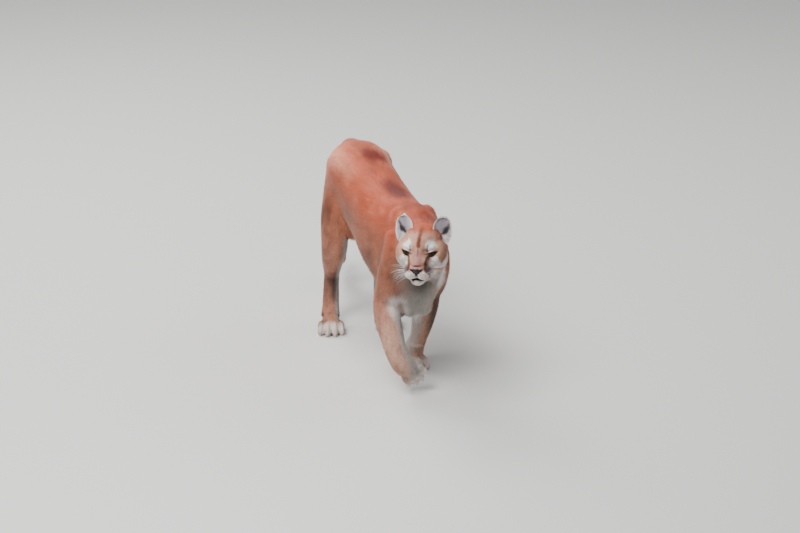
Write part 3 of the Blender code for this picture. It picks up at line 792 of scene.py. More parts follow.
def makeEar(side):
    # rows go up the ear as the sine of a quarter turn, columns round the inside and back round the outside
    t = np.sin(0.5 * math.pi * np.linspace(0, 1, ears["rows"]))[:-1]
    sweep = np.linspace(-1, 1, ears["columns"])
    over = np.clip((t - ears["widest"]) / (1 - ears["widest"]), 0, 1)
    foot = np.sin(0.5 * math.pi * np.minimum(1, t / ears["widest"]))
    swell = np.sqrt(1 - over ** ears["roundness"]) * (ears["footWidth"] + (1 - ears["footWidth"]) * foot)
    around = np.concatenate([sweep, sweep[::-1]])
    inside = np.concatenate([np.ones(len(sweep)), -np.ones(len(sweep))])
    t, swell = t[:, None], swell[:, None]
    angle = np.radians(108 - 30 * t) * around
    depth = 0.021 * (1 - 0.75 * t)
    edge = 1 - np.abs(around) ** 6
    wall = (ears["wall"][0] + (ears["wall"][1] - ears["wall"][0]) * t) * (0.25 + 0.75 * edge) / 2
    across = ears["halfWidth"] * swell * np.sin(angle)
    back = depth * (np.cos(angle) - 0.3)
    # the inside is drawn towards the cup's axis by the wall, the outside away from it
    across = across - inside * wall * np.sin(angle)
    back = back - inside * wall * np.cos(angle)
    up = ears["height"] * t + 0.006 * np.cos(angle) - 0.003 - 0.008 * (1 - t) ** 2 * around**2
    local = np.stack([-back, across, up], -1)
    forward, left, height = headPose["ear"]
    points = fromHead(local @ earAxes(side) + np.array([forward, side * left, height]))
    made, _ = closedRings(points)
    quads, fans = ringFaces(len(t), len(around))
    halves = np.stack([quads[:, [0, 1, 2]], quads[:, [0, 2, 3]]], 1).reshape(-1, 3)

    def spread(values, atFoot, atTip):
        return np.append(np.broadcast_to(values, (len(t), len(around))).ravel(), [atFoot, atTip])

    facts = {"inside": spread(inside, 0, 0), "rise": spread(t, 0, 1), "sweep": spread(around, 1, 1)}
    return toFrame(made), np.concatenate([halves, fans]), facts


def outward(points, triangles):
    # faces are turned so that a closed piece's volume is positive
    a, b, c = points[triangles].transpose(1, 0, 2)
    volume = np.einsum("ij,ij->i", a, np.cross(b, c)).sum()
    return triangles if volume > 0 else triangles[:, ::-1]


skin = makeSkinForm()
refineFace(skin)
print("skin form", len(skin.data.vertices), "points,", len(skin.data.polygons), "faces")
formTree = BVHTree.FromObject(skin, bpy.context.evaluated_depsgraph_get())
lipPath, cleftPath = laidOn(formTree, lipLine), laidOn(formTree, philtrum)
lipAway = shapeSkin(skin)
skinTree = BVHTree.FromObject(skin, bpy.context.evaluated_depsgraph_get())
lidParts = [makeLids(side, skinTree) for side in (1, -1)]
sinkBehindEyes(skin)
earParts = [makeEar(side) for side in (1, -1)]
print("lids and ears")


# Colours of the coat, each as red, green and blue of 0 to 255 on a screen
coatColours = {
    "back": (174, 78, 50),
    "backPale": (206, 124, 96),
    # painted highlight over the rump's top and along its edges
    "rim": (236, 168, 138),
    # the dark of the spine, also used as painted shade in the dip beside the hips
    "spineAndShade": (104, 30, 16),
    "dusky": (84, 32, 28),
    "flank": (156, 93, 68),
    # darker mottle of the coat, also used as painted shade on the right hind leg
    "flankDarkAndShade": (104, 62, 47),
    "leg": (178, 122, 100),
    "legPale": (206, 160, 138),
    # painted shade on the inner side of the lower hind legs and the outer side of the left foreleg
    "legShade": (74, 60, 56),
    "innerLeg": (186, 176, 170),
    "belly": (196, 178, 164),
    "bib": (176, 170, 164),
    # painted shade under the chin and down the throat
    "throatShade": (58, 53, 45),
    "paw": (238, 222, 212),
    # painted shade in the gaps between the toes
    "toeGapShade": (72, 56, 50),
    "tailTip": (58, 42, 38),
    "white": (240, 232, 228),
    "cheek": (158, 122, 102),
    "face": (186, 140, 116),
    "forehead": (190, 142, 122),
    "stripe": (108, 54, 38),
    "bridge": (170, 124, 114),
    "dark": (62, 42, 42),
    "black": (18, 13, 14),
    "tear": (98, 66, 66),
    # dark bare skin of the pads, also used as painted shade in the hollow of the ears
    "darkSkinAndShade": (46, 36, 36),
    "noseDark": (34, 20, 22),
    "nosePink": (158, 110, 106),
    "earInside": (214, 204, 206),
    "earGrey": (150, 142, 150),
}


def screen(name):
    # screen values to linear ones
    value = np.array(coatColours[name]) / 255
    return np.where(value <= 0.04045, value / 12.92, ((value + 0.055) / 1.055) ** 2.4)


def cloudy(points, size, seed):
    # smooth noise from 0 to 1: random values on a lattice, blended over each cell
    values = np.random.default_rng(seed).random((24, 24, 24))
    q = points / size
    cell = np.floor(q).astype(int)
    f = q - cell
    f = f * f * (3 - 2 * f)
    made = 0
    for corner in np.ndindex(2, 2, 2):
        i, j, k = ((cell + corner) % 24).T
        made = made + np.where(corner, f, 1 - f).prod(1) * values[i, j, k]
    return made


def mixed(colours, name, share):
    return blend(colours, screen(name), np.clip(share, 0, 1)[:, None])


# Soft marks of the face: colour, centre and half sizes in head coordinates (both sides alike), strength
faceMarks = (
    ("face", (0.045, 0.000, -0.010), (0.105, 0.105, 0.110), 1.0),
    ("cheek", (0.000, 0.085, 0.005), (0.050, 0.034, 0.030), 0.4),
    ("white", (0.035, 0.066, -0.040), (0.042, 0.030, 0.020), 0.8),
    ("forehead", (0.035, 0.022, 0.048), (0.040, 0.034, 0.026), 0.8),
    ("back", (-0.030, 0.000, 0.080), (0.072, 0.066, 0.036), 0.9),
    ("white", (-0.005, 0.088, -0.040), (0.050, 0.036, 0.034), 0.7),
    ("bridge", (0.085, 0.000, 0.006), (0.060, 0.021, 0.034), 0.95),
    ("white", (0.048, 0.038, 0.033), (0.026, 0.023, 0.018), 0.95),
    ("white", (0.060, 0.049, -0.020), (0.036, 0.019, 0.024), 0.95),
    ("white", (0.104, 0.022, -0.048), (0.034, 0.030, 0.022), 1.0),
    ("white", (0.080, 0.000, -0.086), (0.046, 0.036, 0.026), 0.95),
    ("white", (0.010, 0.000, -0.100), (0.080, 0.050, 0.034), 0.7),
)
# Strokes of the face: colour, half width, strength and path. Depth counts little, so they follow the surface
faceStrokes = (
    ("stripe", 0.0065, 0.80, ((-0.030, 0, 0.084), (0.034, 0, 0.064))),
    ("stripe", 0.0060, 0.95, ((0.044, 0, 0.054), (0.058, 0, 0.038))),
    ("stripe", 0.0024, 0.60, ((0.066, 0, 0.028), (0.084, 0, 0.012))),
    ("dark", 0.0024, 0.70, ((0.062, 0.0270, 0.018), (0.055, 0.0285, 0.036))),
    ("tear", 0.0036, 0.90, ((0.062, 0.0275, 0.004), (0.085, 0.0250, -0.010), (0.098, 0.0270, -0.024))),
    ("dark", 0.0048, 0.85, ((0.112, 0.0260, -0.022), (0.100, 0.0360, -0.030), (0.088, 0.0430, -0.042))),
    ("dark", 0.0036, 0.70, ((0.088, 0.0430, -0.042), (0.082, 0.0430, -0.054))),
    ("black", 0.0034, 0.95, ((0.118, 0, -0.0610), (0.110, 0.014, -0.0655), (0.088, 0.034, -0.0635))),
    ("black", 0.0038, 1.00, ((0.123, 0, -0.0420), (0.118, 0, -0.0610))),
    ("black", 0.0030, 0.90, ((0.060, 0.0325, 0.005), (0.066, 0.0268, -0.002))),
    ("dark", 0.0014, 0.45, ((0.112, 0.0160, -0.040), (0.094, 0.0400, -0.041))),
    ("dark", 0.0012, 0.40, ((0.116, 0.0160, -0.046), (0.094, 0.0410, -0.048))),
)
# Patches of the back and legs, and of the chest: colour, centre, half sizes and strength
bodyMarks = (
    # painted shade in the dip between the spine and the left hip, in the spine's dark colour
    ("spineAndShade", (0.110, 0.024, 0.648), (0.070, 0.055, 0.050), 1.00),
    ("dusky", (0.400, 0.014, 0.612), (0.115, 0.046, 0.048), 0.85),
    ("spineAndShade", (0.640, 0.000, 0.640), (0.050, 0.090, 0.040), 0.50),
    ("spineAndShade", (0.745, 0.000, 0.615), (0.040, 0.080, 0.040), 0.55),
    # painted shade on the right hind leg
    ("flankDarkAndShade", (0.020, -0.110, 0.400), (0.060, 0.030, 0.100), 0.55),
)
chestMarks = (
    ("white", (0.690, -0.076, 0.300), (0.070, 0.044, 0.052), 0.75),
    ("white", (0.765, 0.058, 0.410), (0.070, 0.024, 0.075), 0.75),
    ("white", (0.560, 0.040, 0.220), (0.070, 0.016, 0.080), 0.60),
)
# Heights where the coat's colours and its painted shade begin, and over how much they come in below them
zones = {
    "leg": (0.47, 0.20),
    "legPale": (0.32, 0.14),
    # painted shade on the legs
    "hindlegShade": (0.30, 0.08),
    "forelegShade": (0.40, 0.10),
    "innerLeg": (0.46, 0.10),
    "belly": (0.50, 0.08),
    "bib": (0.54, 0.10),
}
breastMark = ((0.645, 0, 0.270), (0.090, 0.058, 0.070))  # centre and half sizes
tailTipFrom = (0.43, 0.48)  # behind the hips
# Bare pads under a foot: forward, left, half length and half width
pads = ((0.004, 0, 0.024, 0.026), (0.056, 0.0122, 0.012, 0.009), (0.044, 0.034, 0.012, 0.009))
lipBlack = (0.0017, 0.0034)  # distances from the mouth over which its black ends


def marked(colours, points, marks, wobble, edge, share):
    # soft ellipsoids, whose edges a noise moves
    for name, centre, sizes, strength in marks:
        away = reachOf(points, centre, sizes) + wobble
        colours = mixed(colours, name, share * strength * (1 - smoothStep(away, *edge)))
    return colours


def faceColours(colours, animal, lips):
    head, front = mirrored(toHead(animal)), headShare(animal)
    wobble = 0.35 * (cloudy(animal, 0.007, 5) - 0.5) + 0.2 * (cloudy(animal, 0.003, 7) - 0.5)
    colours = marked(colours, head, faceMarks, wobble, (0.60, 1.15), front)
    flat = np.array([0.12, 1, 1])
    wobble = 0.0012 * (cloudy(animal, 0.004, 6) - 0.5)
    for name, width, strength, path in faceStrokes:
        away = segmentDistance(head * flat, np.array(path) * flat)[0] + wobble
        seen = front * smoothStep(head[:, 0], 0.02 if name != "stripe" else -0.06, 0.04)
        colours = mixed(colours, name, seen * strength * (1 - smoothStep(away / width, 0.5, 1.7)))
    colours = mixed(colours, "black", 1 - smoothStep(lips, *lipBlack))
    for side in (1, -1):
        away, past, turn = eyeCoordinates(animal, side)
        # the dark rim of the lids, drawn out at both corners
        width = 9 + 9 * bell(turn, 0, 0.35) + 10 * bell(np.abs(turn), math.pi, 0.45)
        rim = (1 - smoothStep(past / width, 0.75, 1.25)) * (away < 0.030)
        colours = mixed(colours, "black", rim)
    return colours


def pawCoordinates(animal, name):
    # (forward, left, up) from the middle under a foot, over the foot's width
    return (animal - np.array(paws[name][0])) @ pawAxes(name).T / np.array([1, paws[name][3], 1])


def padShare(animal, normals):
    # 1 on the bare pads under the feet: a large one and one to a toe
    share = np.zeros(len(animal))
    facing = turnToAnimal(normals)
    for name in paws:
        local = pawCoordinates(animal, name)
        below = smoothStep(-(facing @ pawAxes(name)[2]), 0.45, 0.75) * (np.abs(local[:, 2]) < 0.03)
        for forward, left, long, wide in pads:
            away = np.hypot((local[:, 0] - forward) / long, (np.abs(local[:, 1]) - left) / wide)
            share = np.maximum(share, below * (1 - smoothStep(away, 0.85, 1.1)))
    return share


def toeMarks(colours, animal):
    # pale toes, with painted shade in the gaps between them
    for name in paws:
        forward, left, up = pawCoordinates(animal, name).T
        near = np.linalg.norm([forward - 0.03, left, up - 0.02], axis=0) < 0.07
        colours = mixed(colours, "paw", 0.9 * smoothStep(forward, 0.012, 0.045) * near)
        gapShade = bell(np.minimum(np.abs(left), np.abs(np.abs(left) - 0.0235)), 0, 0.0022)
        gapShade = gapShade * smoothStep(forward, 0.046, 0.060) * smoothStep(0.030 - up, 0, 0.01)
        colours = mixed(colours, "toeGapShade", 0.85 * gapShade * near)
    return colours


def colourAt(points, normals, shares, lips=None):
    # the coat's markings at points in the frame, with painted shade and painted highlight among them: layers
    # of a colour and its share, each over the last
    animal, facing = toAnimal(points), turnToAnimal(normals)
    forward, left, up = animal.T
    lips = np.ones(len(points)) if lips is None else lips
    legs = sum(shares[name] for name in legForms)
    trunk, body = shares["trunk"] + shares["neck"], 1 - shares["head"]
    coarse, middling, fine = cloudy(animal, 0.055, 1), cloudy(animal, 0.022, 12), cloudy(animal, 0.010, 2)
    mottle, wobble = 0.5 * coarse + 0.5 * middling, middling - 0.5
    markEdge = (0.4, 1.1)

    def layered(colours, layers):
        for name, share in layers:
            colours = mixed(colours, name, share)
        return colours

    def below(zone):
        height, fade = zones[zone]
        return smoothStep(height - up, 0, fade)

    backness = smoothStep(facing[:, 2] * 0.55 + (up - 0.48) / 0.16, -0.15, 0.95)
    # painted highlight in the rim colour, along the edges of the rump's top and over the rump
    hipHighlight = smoothStep(up, 0.56, 0.62) * smoothStep(np.abs(left), 0.040, 0.085)
    hipHighlight = hipHighlight * (1 - smoothStep(forward, 0.10, 0.30))
    spineAndShade = bell(left, 0, 0.032) * smoothStep(facing[:, 2], 0.5, 0.9) * trunk
    colours = layered(np.repeat(screen("flank")[None], len(points), 0), (
        ("flankDarkAndShade", 0.8 * smoothStep(mottle, 0.45, 0.75)),
        ("back", backness),
        ("backPale", 0.40 * smoothStep(mottle, 0.45, 0.75) * backness),
        ("rim", 0.55 * hipHighlight + 0.30 * bell(forward, -0.06, 0.07) * backness),
        ("spineAndShade", 0.55 * spineAndShade * smoothStep(middling, 0.15, 0.7)),
    ))
    colours = marked(colours, animal, bodyMarks, 0.5 * wobble, markEdge, 1)
    # painted shade on the inner side of the hind legs low down, and on the outer side of the left foreleg
    inner = shares["hindRight"] * smoothStep(left, -0.115, -0.075)
    inner = inner + shares["hindLeft"] * smoothStep(-left, -0.11, -0.07)
    outer = shares["foreLeft"] * smoothStep(left, 0.060, 0.090)
    inward = -np.sign(left) * facing[:, 1]
    bib = smoothStep(facing[:, 0], 0.0, 0.6) * bell(left, -0.01, 0.055) * below("bib")
    breast = reachOf(animal, *breastMark)
    # painted shade under the chin, down the throat
    shade = bell(left, -0.025, 0.050) * bell(up, 0.425, 0.085)
    shade = shade * smoothStep(facing[:, 0] - facing[:, 2], 0.0, 0.6)
    colours = layered(colours, (
        ("leg", legs * below("leg")),
        ("legPale", legs * below("legPale") * smoothStep(forward, 0.3, 0.4)),
        ("flankDarkAndShade", 0.45 * legs * smoothStep(mottle, 0.48, 0.7)),
        ("legShade", 0.9 * inner * below("hindlegShade") * smoothStep(up, 0.06, 0.11)),
        ("legShade", 0.85 * outer * below("forelegShade") * smoothStep(up, 0.10, 0.17)),
        ("innerLeg", 0.85 * legs * below("innerLeg") * smoothStep(inward, 0.1, 0.7)),
        ("belly", trunk * smoothStep(0.4 * wobble - facing[:, 2], 0.25, 0.85) * below("belly")),
        ("bib", bib * smoothStep(forward, 0.60, 0.68)),
        ("bib", smoothStep(0.3 * wobble - facing[:, 2], 0.0, 0.6) * shares["neck"]),
        ("bib", 1 - smoothStep(breast + 0.3 * wobble, 0.75, 1.1)),
        ("throatShade", 0.95 * shade * smoothStep(forward, 0.62, 0.70) * body),
    ))
    colours = marked(colours, animal, chestMarks, 0.5 * wobble, markEdge, body)
    colours = mixed(colours, "tailTip", smoothStep(0.02 * wobble - forward, *tailTipFrom) * shares["tail"])
    colours = faceColours(toeMarks(colours, animal), animal, lips)
    colours = mixed(colours, "darkSkinAndShade", padShare(animal, normals))
    return colours * (0.84 + 0.32 * fine[:, None])


def pathWays(animal, rows):
    # the direction of a middle line beside each point
    line = curveThrough(rows[:, :3], 3)
    _, along = segmentDistance(animal, line)
    lengths = np.concatenate([[0], np.cumsum(np.linalg.norm(np.diff(line, axis=0), axis=1))])
    tangents = unit(np.gradient(line, axis=0))
    return np.stack([np.interp(along, lengths / lengths[-1], tangents[:, k]) for k in range(3)], -1)


def lieAt(points, normals, shares):
    # the way the hair lies, along the skin: back over the trunk, down the legs, to the toes and the tail's
    # tip, and away from the nose over the head
    animal = toAnimal(points)
    facing = turnToAnimal(normals)
    down = -0.30 - 1.4 * np.abs(facing[:, 0])
    way = shares["trunk"][:, None] * np.stack([0 * down - 1, 0 * down, down], -1)
    way = way - shares["neck"][:, None] * (pathWays(animal, neckForm) + np.array([0, 0, 0.45]))
    way = way + shares["tail"][:, None] * pathWays(animal, tailForm)
    for name, rows in legForms.items():
        toes = smoothStep(0.085 - np.linalg.norm(animal - np.array(paws[name][0]), axis=1), 0, 0.03)[:, None]
        legWay = pathWays(animal, rows) * (1 - toes) + (pawAxes(name)[0] - 0.3 * pawAxes(name)[2]) * toes
        way = way + shares[name][:, None] * legWay
    fromNose = unit(toHead(animal) - np.array([0.128, 0, -0.022])) @ headTurn.T
    way = way + shares["head"][:, None] * fromNose
    # slow waves turn the lie a little to either side
    side = np.cross(facing, way)
    waves = 0.45 * (cloudy(animal, 0.040, 3) - 0.5) + 0.35 * (cloudy(animal, 0.014, 4) - 0.5)
    way = turnToFrame(way + side * waves[:, None])
    return unit(way - normals * np.einsum("ij,ij->i", way, normals)[:, None])


coat = {
    "tufts": 330000,
    "length": {"trunk": 0.0165, "belly": 0.024, "neck": 0.018, "leg": 0.0120, "paw": 0.0065, "tail": 0.018},
    "cover": {"body": 1.1, "leg": 0.72, "face": 1.15, "lids": 0.7, "ears": 0.8},
    "faceLength": (0.0038, 0.0125),  # by the nose, behind the cheeks
    "width": {"trunk": 0.0024, "leg": 0.0020, "paw": 0.0014, "face": 0.0010},
    "sink": 0.0006,
    "patch": 0.003,  # size of a tuft's place on the map
    "most": 49000,  # tufts in a piece
}


def coatSizes(points, shares, depth):
    # length, width and rise of the tufts over the skin
    animal = toAnimal(points)
    legs = sum(shares[name] for name in legForms)
    foot = footShare(animal)
    lengths, widths = coat["length"], coat["width"]
    body = blend(lengths["trunk"], lengths["belly"], bellyShare(animal))
    length = shares["trunk"] * body + shares["neck"] * lengths["neck"] + shares["tail"] * lengths["tail"]
    length = length + legs * lengths["leg"]
    back = smoothStep(-toHead(animal)[:, 0], -0.085, 0.02)
    length = length + shares["head"] * blend(*coat["faceLength"], back)
    length = length * (1 - foot) + lengths["paw"] * foot
    width = (shares["trunk"] + shares["neck"] + shares["tail"]) * widths["trunk"] + legs * widths["leg"]
    width = width + shares["head"] * blend(widths["face"], widths["leg"], back)
    width = width * (1 - foot) + widths["paw"] * foot
    rise = np.arcsin(np.clip((depth + coat["sink"]) / length, 0.12, 0.6))
    return length, width, rise


regionNames = (
    "coatLoin", "coatNeck", "coatTail", "coatForelegLeft", "coatForelegRight", "coatHindlegLeft",
    "coatHindlegRight", "coatHead", "coatShoulders", "coatRump", "coatMuzzle", "coatLids", "coatEars",
)
regionOf = {name: number for number, name in enumerate(regionNames)}


def skinFacts():
    # what the coat needs at each point of the skin proper
    points, normals = pointsOf(skin), normalsOf(skin)
    animal = toAnimal(points)
    shares = limbShares(animal)
    length, width, rise = coatSizes(points, shares, depthAt(animal, shares))
    head = mirrored(toHead(animal))
    fromNose = np.linalg.norm(head - np.array(headPose["nose"]), axis=1)
    bare = np.maximum.reduce([
        1 - smoothStep(lipAway, 0.0018, 0.0034),
        1 - smoothStep(fromNose, 0.012, 0.016),
        padShare(animal, normals),
        1 - smoothStep(points[:, 2], 0.003, 0.006),
    ])
    length = length * (0.5 + 0.5 * smoothStep(lipAway, 0.002, 0.011))
    for side in (1, -1):
        away, past, _ = eyeCoordinates(animal, side)
        bare = np.where((away < 0.040) & (past < lids["reach"] - 4), 1, bare)
        reach = smoothStep(past, lids["reach"] - 6, lids["reach"] + 25)
        length = length * np.where(away < 0.045, 0.55 + 0.45 * reach, 1)
    covers = coat["cover"]
    cover = blend(covers["body"], covers["leg"], sum(shares[name] for name in legForms))
    cover = cover + (covers["face"] - covers["body"]) * shares["head"]
    regions = np.stack(list(shares.values())).argmax(0)
    for name, whole, there in (
        ("coatShoulders", "coatLoin", animal[:, 0] > 0.46),
        ("coatRump", "coatLoin", animal[:, 0] < 0.16),
        ("coatMuzzle", "coatHead", head[:, 0] > 0.045),
    ):
        regions = np.where((regions == regionOf[whole]) & there, regionOf[name], regions)
    return {
        "points": points,
        "normals": normals,
        "colours": colourAt(points, normals, shares, lipAway),
        "lie": lieAt(points, normals, shares),
        "length": length,
        "width": width,
        "rise": rise,
        "bare": bare,
        "cover": cover,
        "region": regions,
    }


def lidFacts(side, points, normals):
    animal = toAnimal(points)
    _, past, _ = eyeCoordinates(animal, side)
    shares = limbShares(animal)
    count = len(points)
    return {
        "points": points,
        "normals": normals,
        "colours": colourAt(points, normals, shares),
        "lie": lieAt(points, normals, shares),
        "length": 0.0028 + 0.0014 * smoothStep(past, 8, 28),
        "width": np.full(count, 1.1 * coat["width"]["face"]),
        "rise": np.full(count, math.radians(24)),
        "bare": 1 - smoothStep(past, 3, 7),
        "cover": np.full(count, coat["cover"]["lids"]),
        "region": np.full(count, regionOf["coatLids"]),
    }


def earFacts(side, points, normals, facts):
    # pale hair inside with painted shade in the hollow towards the outer side, a white rim, and a dark back
    inside = facts["inside"] > 0
    rise, edge = facts["rise"], np.abs(facts["sweep"])
    animal = toAnimal(points)
    speckle = cloudy(animal, 0.006, 8)
    front = np.repeat(screen("earInside")[None], len(points), 0)
    outer = facts["sweep"] * side
    front = mixed(front, "earGrey", 0.85 * bell(outer, 0.15, 0.50) * smoothStep(rise, 0.05, 0.30))
    # painted shade in the hollow of the ear, towards its outer side
    hollowShade = bell(outer, 0.05 + 0.75 * rise, 0.22) * (bell(rise, 0.28, 0.20) + 0.55 * bell(rise, 0.62, 0.24))
    front = mixed(front, "darkSkinAndShade", 0.95 * smoothStep(hollowShade + 0.5 * (speckle - 0.5), 0.15, 0.80))
    rim = np.maximum(smoothStep(edge, 0.80, 0.94), smoothStep(rise, 0.955, 0.99))
    front = mixed(front, "white", np.maximum(rim, smoothStep(0.12 - rise, 0, 0.1)))
    back = np.repeat(screen("flank")[None], len(points), 0)
    back = mixed(back, "dark", 0.85 * smoothStep(rise, 0.15, 0.50) * (1 - smoothStep(rise, 0.72, 0.95)))
    back = mixed(back, "white", rim)
    up = turnToFrame(earAxes(side)[2] @ headTurn.T)
    lean = up + 0.3 * turnToFrame(earAxes(side)[0] @ headTurn.T)
    way = unit(lean - normals * (normals @ lean)[:, None])
    fringe = (1 - smoothStep(rise, 0.05, 0.60)) * smoothStep(edge, 0.25, 0.8)
    return {
        "points": points,
        "normals": normals,
        "colours": np.where(inside[:, None], front, back),
        "lie": way,
        "length": np.where(inside, 0.0045 + 0.0120 * fringe, 0.0052),
        "width": np.full(len(points), 0.0011),
        "rise": np.where(inside, math.radians(22), math.radians(17)),
        "bare": np.where(inside, 0.6 * smoothStep(hollowShade, 0.4, 0.9), 0.0),
        "cover": np.full(len(points), coat["cover"]["ears"]),
        "region": np.full(len(points), regionOf["coatEars"]),
    }


def vertexNormals(points, triangles):
    # each face's normal is added to its corners, weighted by the face's size
    a, b, c = points[triangles].transpose(1, 0, 2)
    faceNormals = np.cross(b - a, c - a)
    sums = [np.bincount(triangles.ravel(), np.repeat(faceNormals[:, k], 3), len(points)) for k in range(3)]
    return unit(np.stack(sums, -1))


def setColours(made, colours):
    layer = made.data.color_attributes.new("coatColour", "FLOAT_COLOR", "POINT")
    values = np.concatenate([np.clip(colours, 0, 1), np.ones((len(colours), 1))], 1)
    layer.data.foreach_set("color", values.astype(np.float32).ravel())


def dressSkin():
    # the skin, its lids and its ears become one mesh
    facts, triangles = [skinFacts()], [trianglesOf(skin)]

    def add(faces, more):
        triangles.append(faces + sum(len(part["points"]) for part in facts))
        facts.append(more)

    for side, (points, faces) in zip((1, -1), lidParts):
        add(faces, lidFacts(side, points, vertexNormals(points, faces)))
    for side, (points, faces, places) in zip((1, -1), earParts):
        faces = outward(points, faces)
        add(faces, earFacts(side, points, vertexNormals(points, faces), places))
    everything = {key: np.concatenate([part[key] for part in facts]) for key in facts[0]}
    everything["triangles"] = np.concatenate(triangles)
    bpy.data.objects.remove(skin)
    made = newObject("skin", everything["points"], everything["triangles"])
    setColours(made, everything["colours"] * 0.82)
    return made, everything


skin, facts = dressSkin()
print("skin", len(facts["triangles"]), "triangles")


def unwrapSkin():
    # the skin is laid flat in pieces of its own shape
    bpy.ops.object.select_all(action="DESELECT")
    bpy.context.view_layer.objects.active = skin
    skin.select_set(True)
    bpy.ops.object.mode_set(mode="EDIT")
    bpy.ops.mesh.select_all(action="SELECT")
    bpy.ops.uv.smart_project(angle_limit=math.radians(66), island_margin=0.002)
    bpy.ops.object.mode_set(mode="OBJECT")
    layer = skin.data.uv_layers.active
    layer.name = "OFBake"
    return readOut(layer.uv, "vector", 2, np.float32).reshape(-1, 3, 2).astype(float)


skinMap = unwrapSkin()
print("skin map")


def growTufts():
    # roots fall on the skin's faces as often as their area and the tufts' own size ask
    triangles = facts["triangles"]
    corners = facts["points"][triangles]
    area = np.linalg.norm(np.cross(corners[:, 1] - corners[:, 0], corners[:, 2] - corners[:, 0]), axis=1) / 2
    wanted = facts["cover"] * (1 - facts["bare"]) / (facts["length"] * facts["width"])
    wanted = area * wanted[triangles].mean(1)
    total = np.cumsum(wanted)
    face = np.searchsorted(total, draw.random(coat["tufts"]) * total[-1])
    print("coat covers the skin", round(coat["tufts"] / total[-1] / 2, 2), "times")
    u, v = draw.random((2, coat["tufts"]))
    over = u + v > 1
    u, v = np.where(over, 1 - u, u), np.where(over, 1 - v, v)
    shares = np.stack([1 - u - v, u, v], -1)
    at = triangles[face]

    def onSkin(key):
        return np.einsum("nk,nk...->n...", shares, facts[key][at])

    root, normal, lie = onSkin("points"), unit(onSkin("normals")), unit(onSkin("lie"))
    length = onSkin("length") * draw.uniform(0.72, 1.22, len(face))
    width = onSkin("width") * draw.uniform(0.75, 1.25, len(face))
    rise = onSkin("rise") * draw.uniform(0.65, 1.12, len(face))
    side = np.cross(normal, lie)
    way = unit(lie + side * draw.normal(0, 0.16, len(face))[:, None])
    side = np.cross(normal, way)
    tip = root + way * (length * np.cos(rise))[:, None]
    tip = tip + normal * (length * np.sin(rise) - coat["sink"])[:, None]
    base = root - normal * coat["sink"]
    half = side * (width / 2)[:, None]
    behind = base + (normal * 0.9 - way) * (width / 2)[:, None]
    points = np.stack([base - half, base + half, behind, tip], 1)
    points[..., 2] = np.maximum(points[..., 2], 0.0004)
    leaning = np.stack([normal - 0.45 * side, normal + 0.45 * side, normal, normal + 0.1 * way], 1)
    colour = onSkin("colours") * draw.uniform(0.84, 1.18, (len(face), 1))
    shade = np.array([0.80, 0.80, 0.88, 1.12])
    colours = colour[:, None] * shade[None, :, None]
    place = np.einsum("nk,nkc->nc", shares, skinMap[face])
    region = facts["region"][at[:, 0]]
    return points, unit(leaning), colours, place, region


def makeCoat():
    points, leaning, colours, place, region = growTufts()
    corners = np.array([[0, 1, 3], [1, 2, 3], [2, 0, 3], [0, 2, 1]])
    patch = np.array([[-0.5, -0.5], [0.5, -0.5], [0, 0], [0, 0.5]]) * coat["patch"]
    made = []
    for number, name in enumerate(regionNames):
        chosen = np.nonzero(region == number)[0]
        pieces = max(1, math.ceil(len(chosen) / coat["most"]))
        for k, part in enumerate(np.array_split(chosen, pieces)):
            if not len(part):
                continue
            label = name + ("" if pieces == 1 else "ABCDEFGH"[k])
            faces = (np.arange(len(part))[:, None, None] * 4 + corners).reshape(-1, 3)
            piece = newObject(label, points[part].reshape(-1, 3), faces)
            if name != "coatEars":  # an ear is too thin for its tufts to be lit as its skin is
                piece.data.normals_split_custom_set_from_vertices(leaning[part].reshape(-1, 3).tolist())
            setColours(piece, colours[part].reshape(-1, 3))
            uv = piece.data.uv_layers.new(name="OFBake")
            spots = (place[part][:, None] + patch)[:, corners].reshape(-1, 2)
            uv.uv.foreach_set("vector", np.clip(spots, 0, 1).astype(np.float32).ravel())
            made.append(piece)
            print(label, len(part), "tufts")
    return made


coatPieces = makeCoat()
print("coat", sum(len(piece.data.polygons) for piece in coatPieces), "triangles")


# Nose
nose = {
    "shapes": (
        ((-0.003, 0.0115, 0.003), (0.0120, 0.0105, 0.0085)),
        ((0.000, 0.0000, 0.003), (0.0130, 0.0120, 0.0090)),
        ((-0.003, 0.0055, -0.004), (0.0105, 0.0080, 0.0095)),
        ((-0.003, 0.0000, -0.010), (0.0095, 0.0050, 0.0110)),
    ),
    "nostril": ((0.0125, 0.0045, -0.0035), (0.0100, 0.0100, -0.0010), (0.0030, 0.0165, 0.0020)),
    "nostrilDepth": 0.0042,
    "cleft": ((0.0140, 0.0, 0.001), (0.0100, 0.0, -0.014)),
    "cell": 0.0006,
    "softness": 0.0020,
}


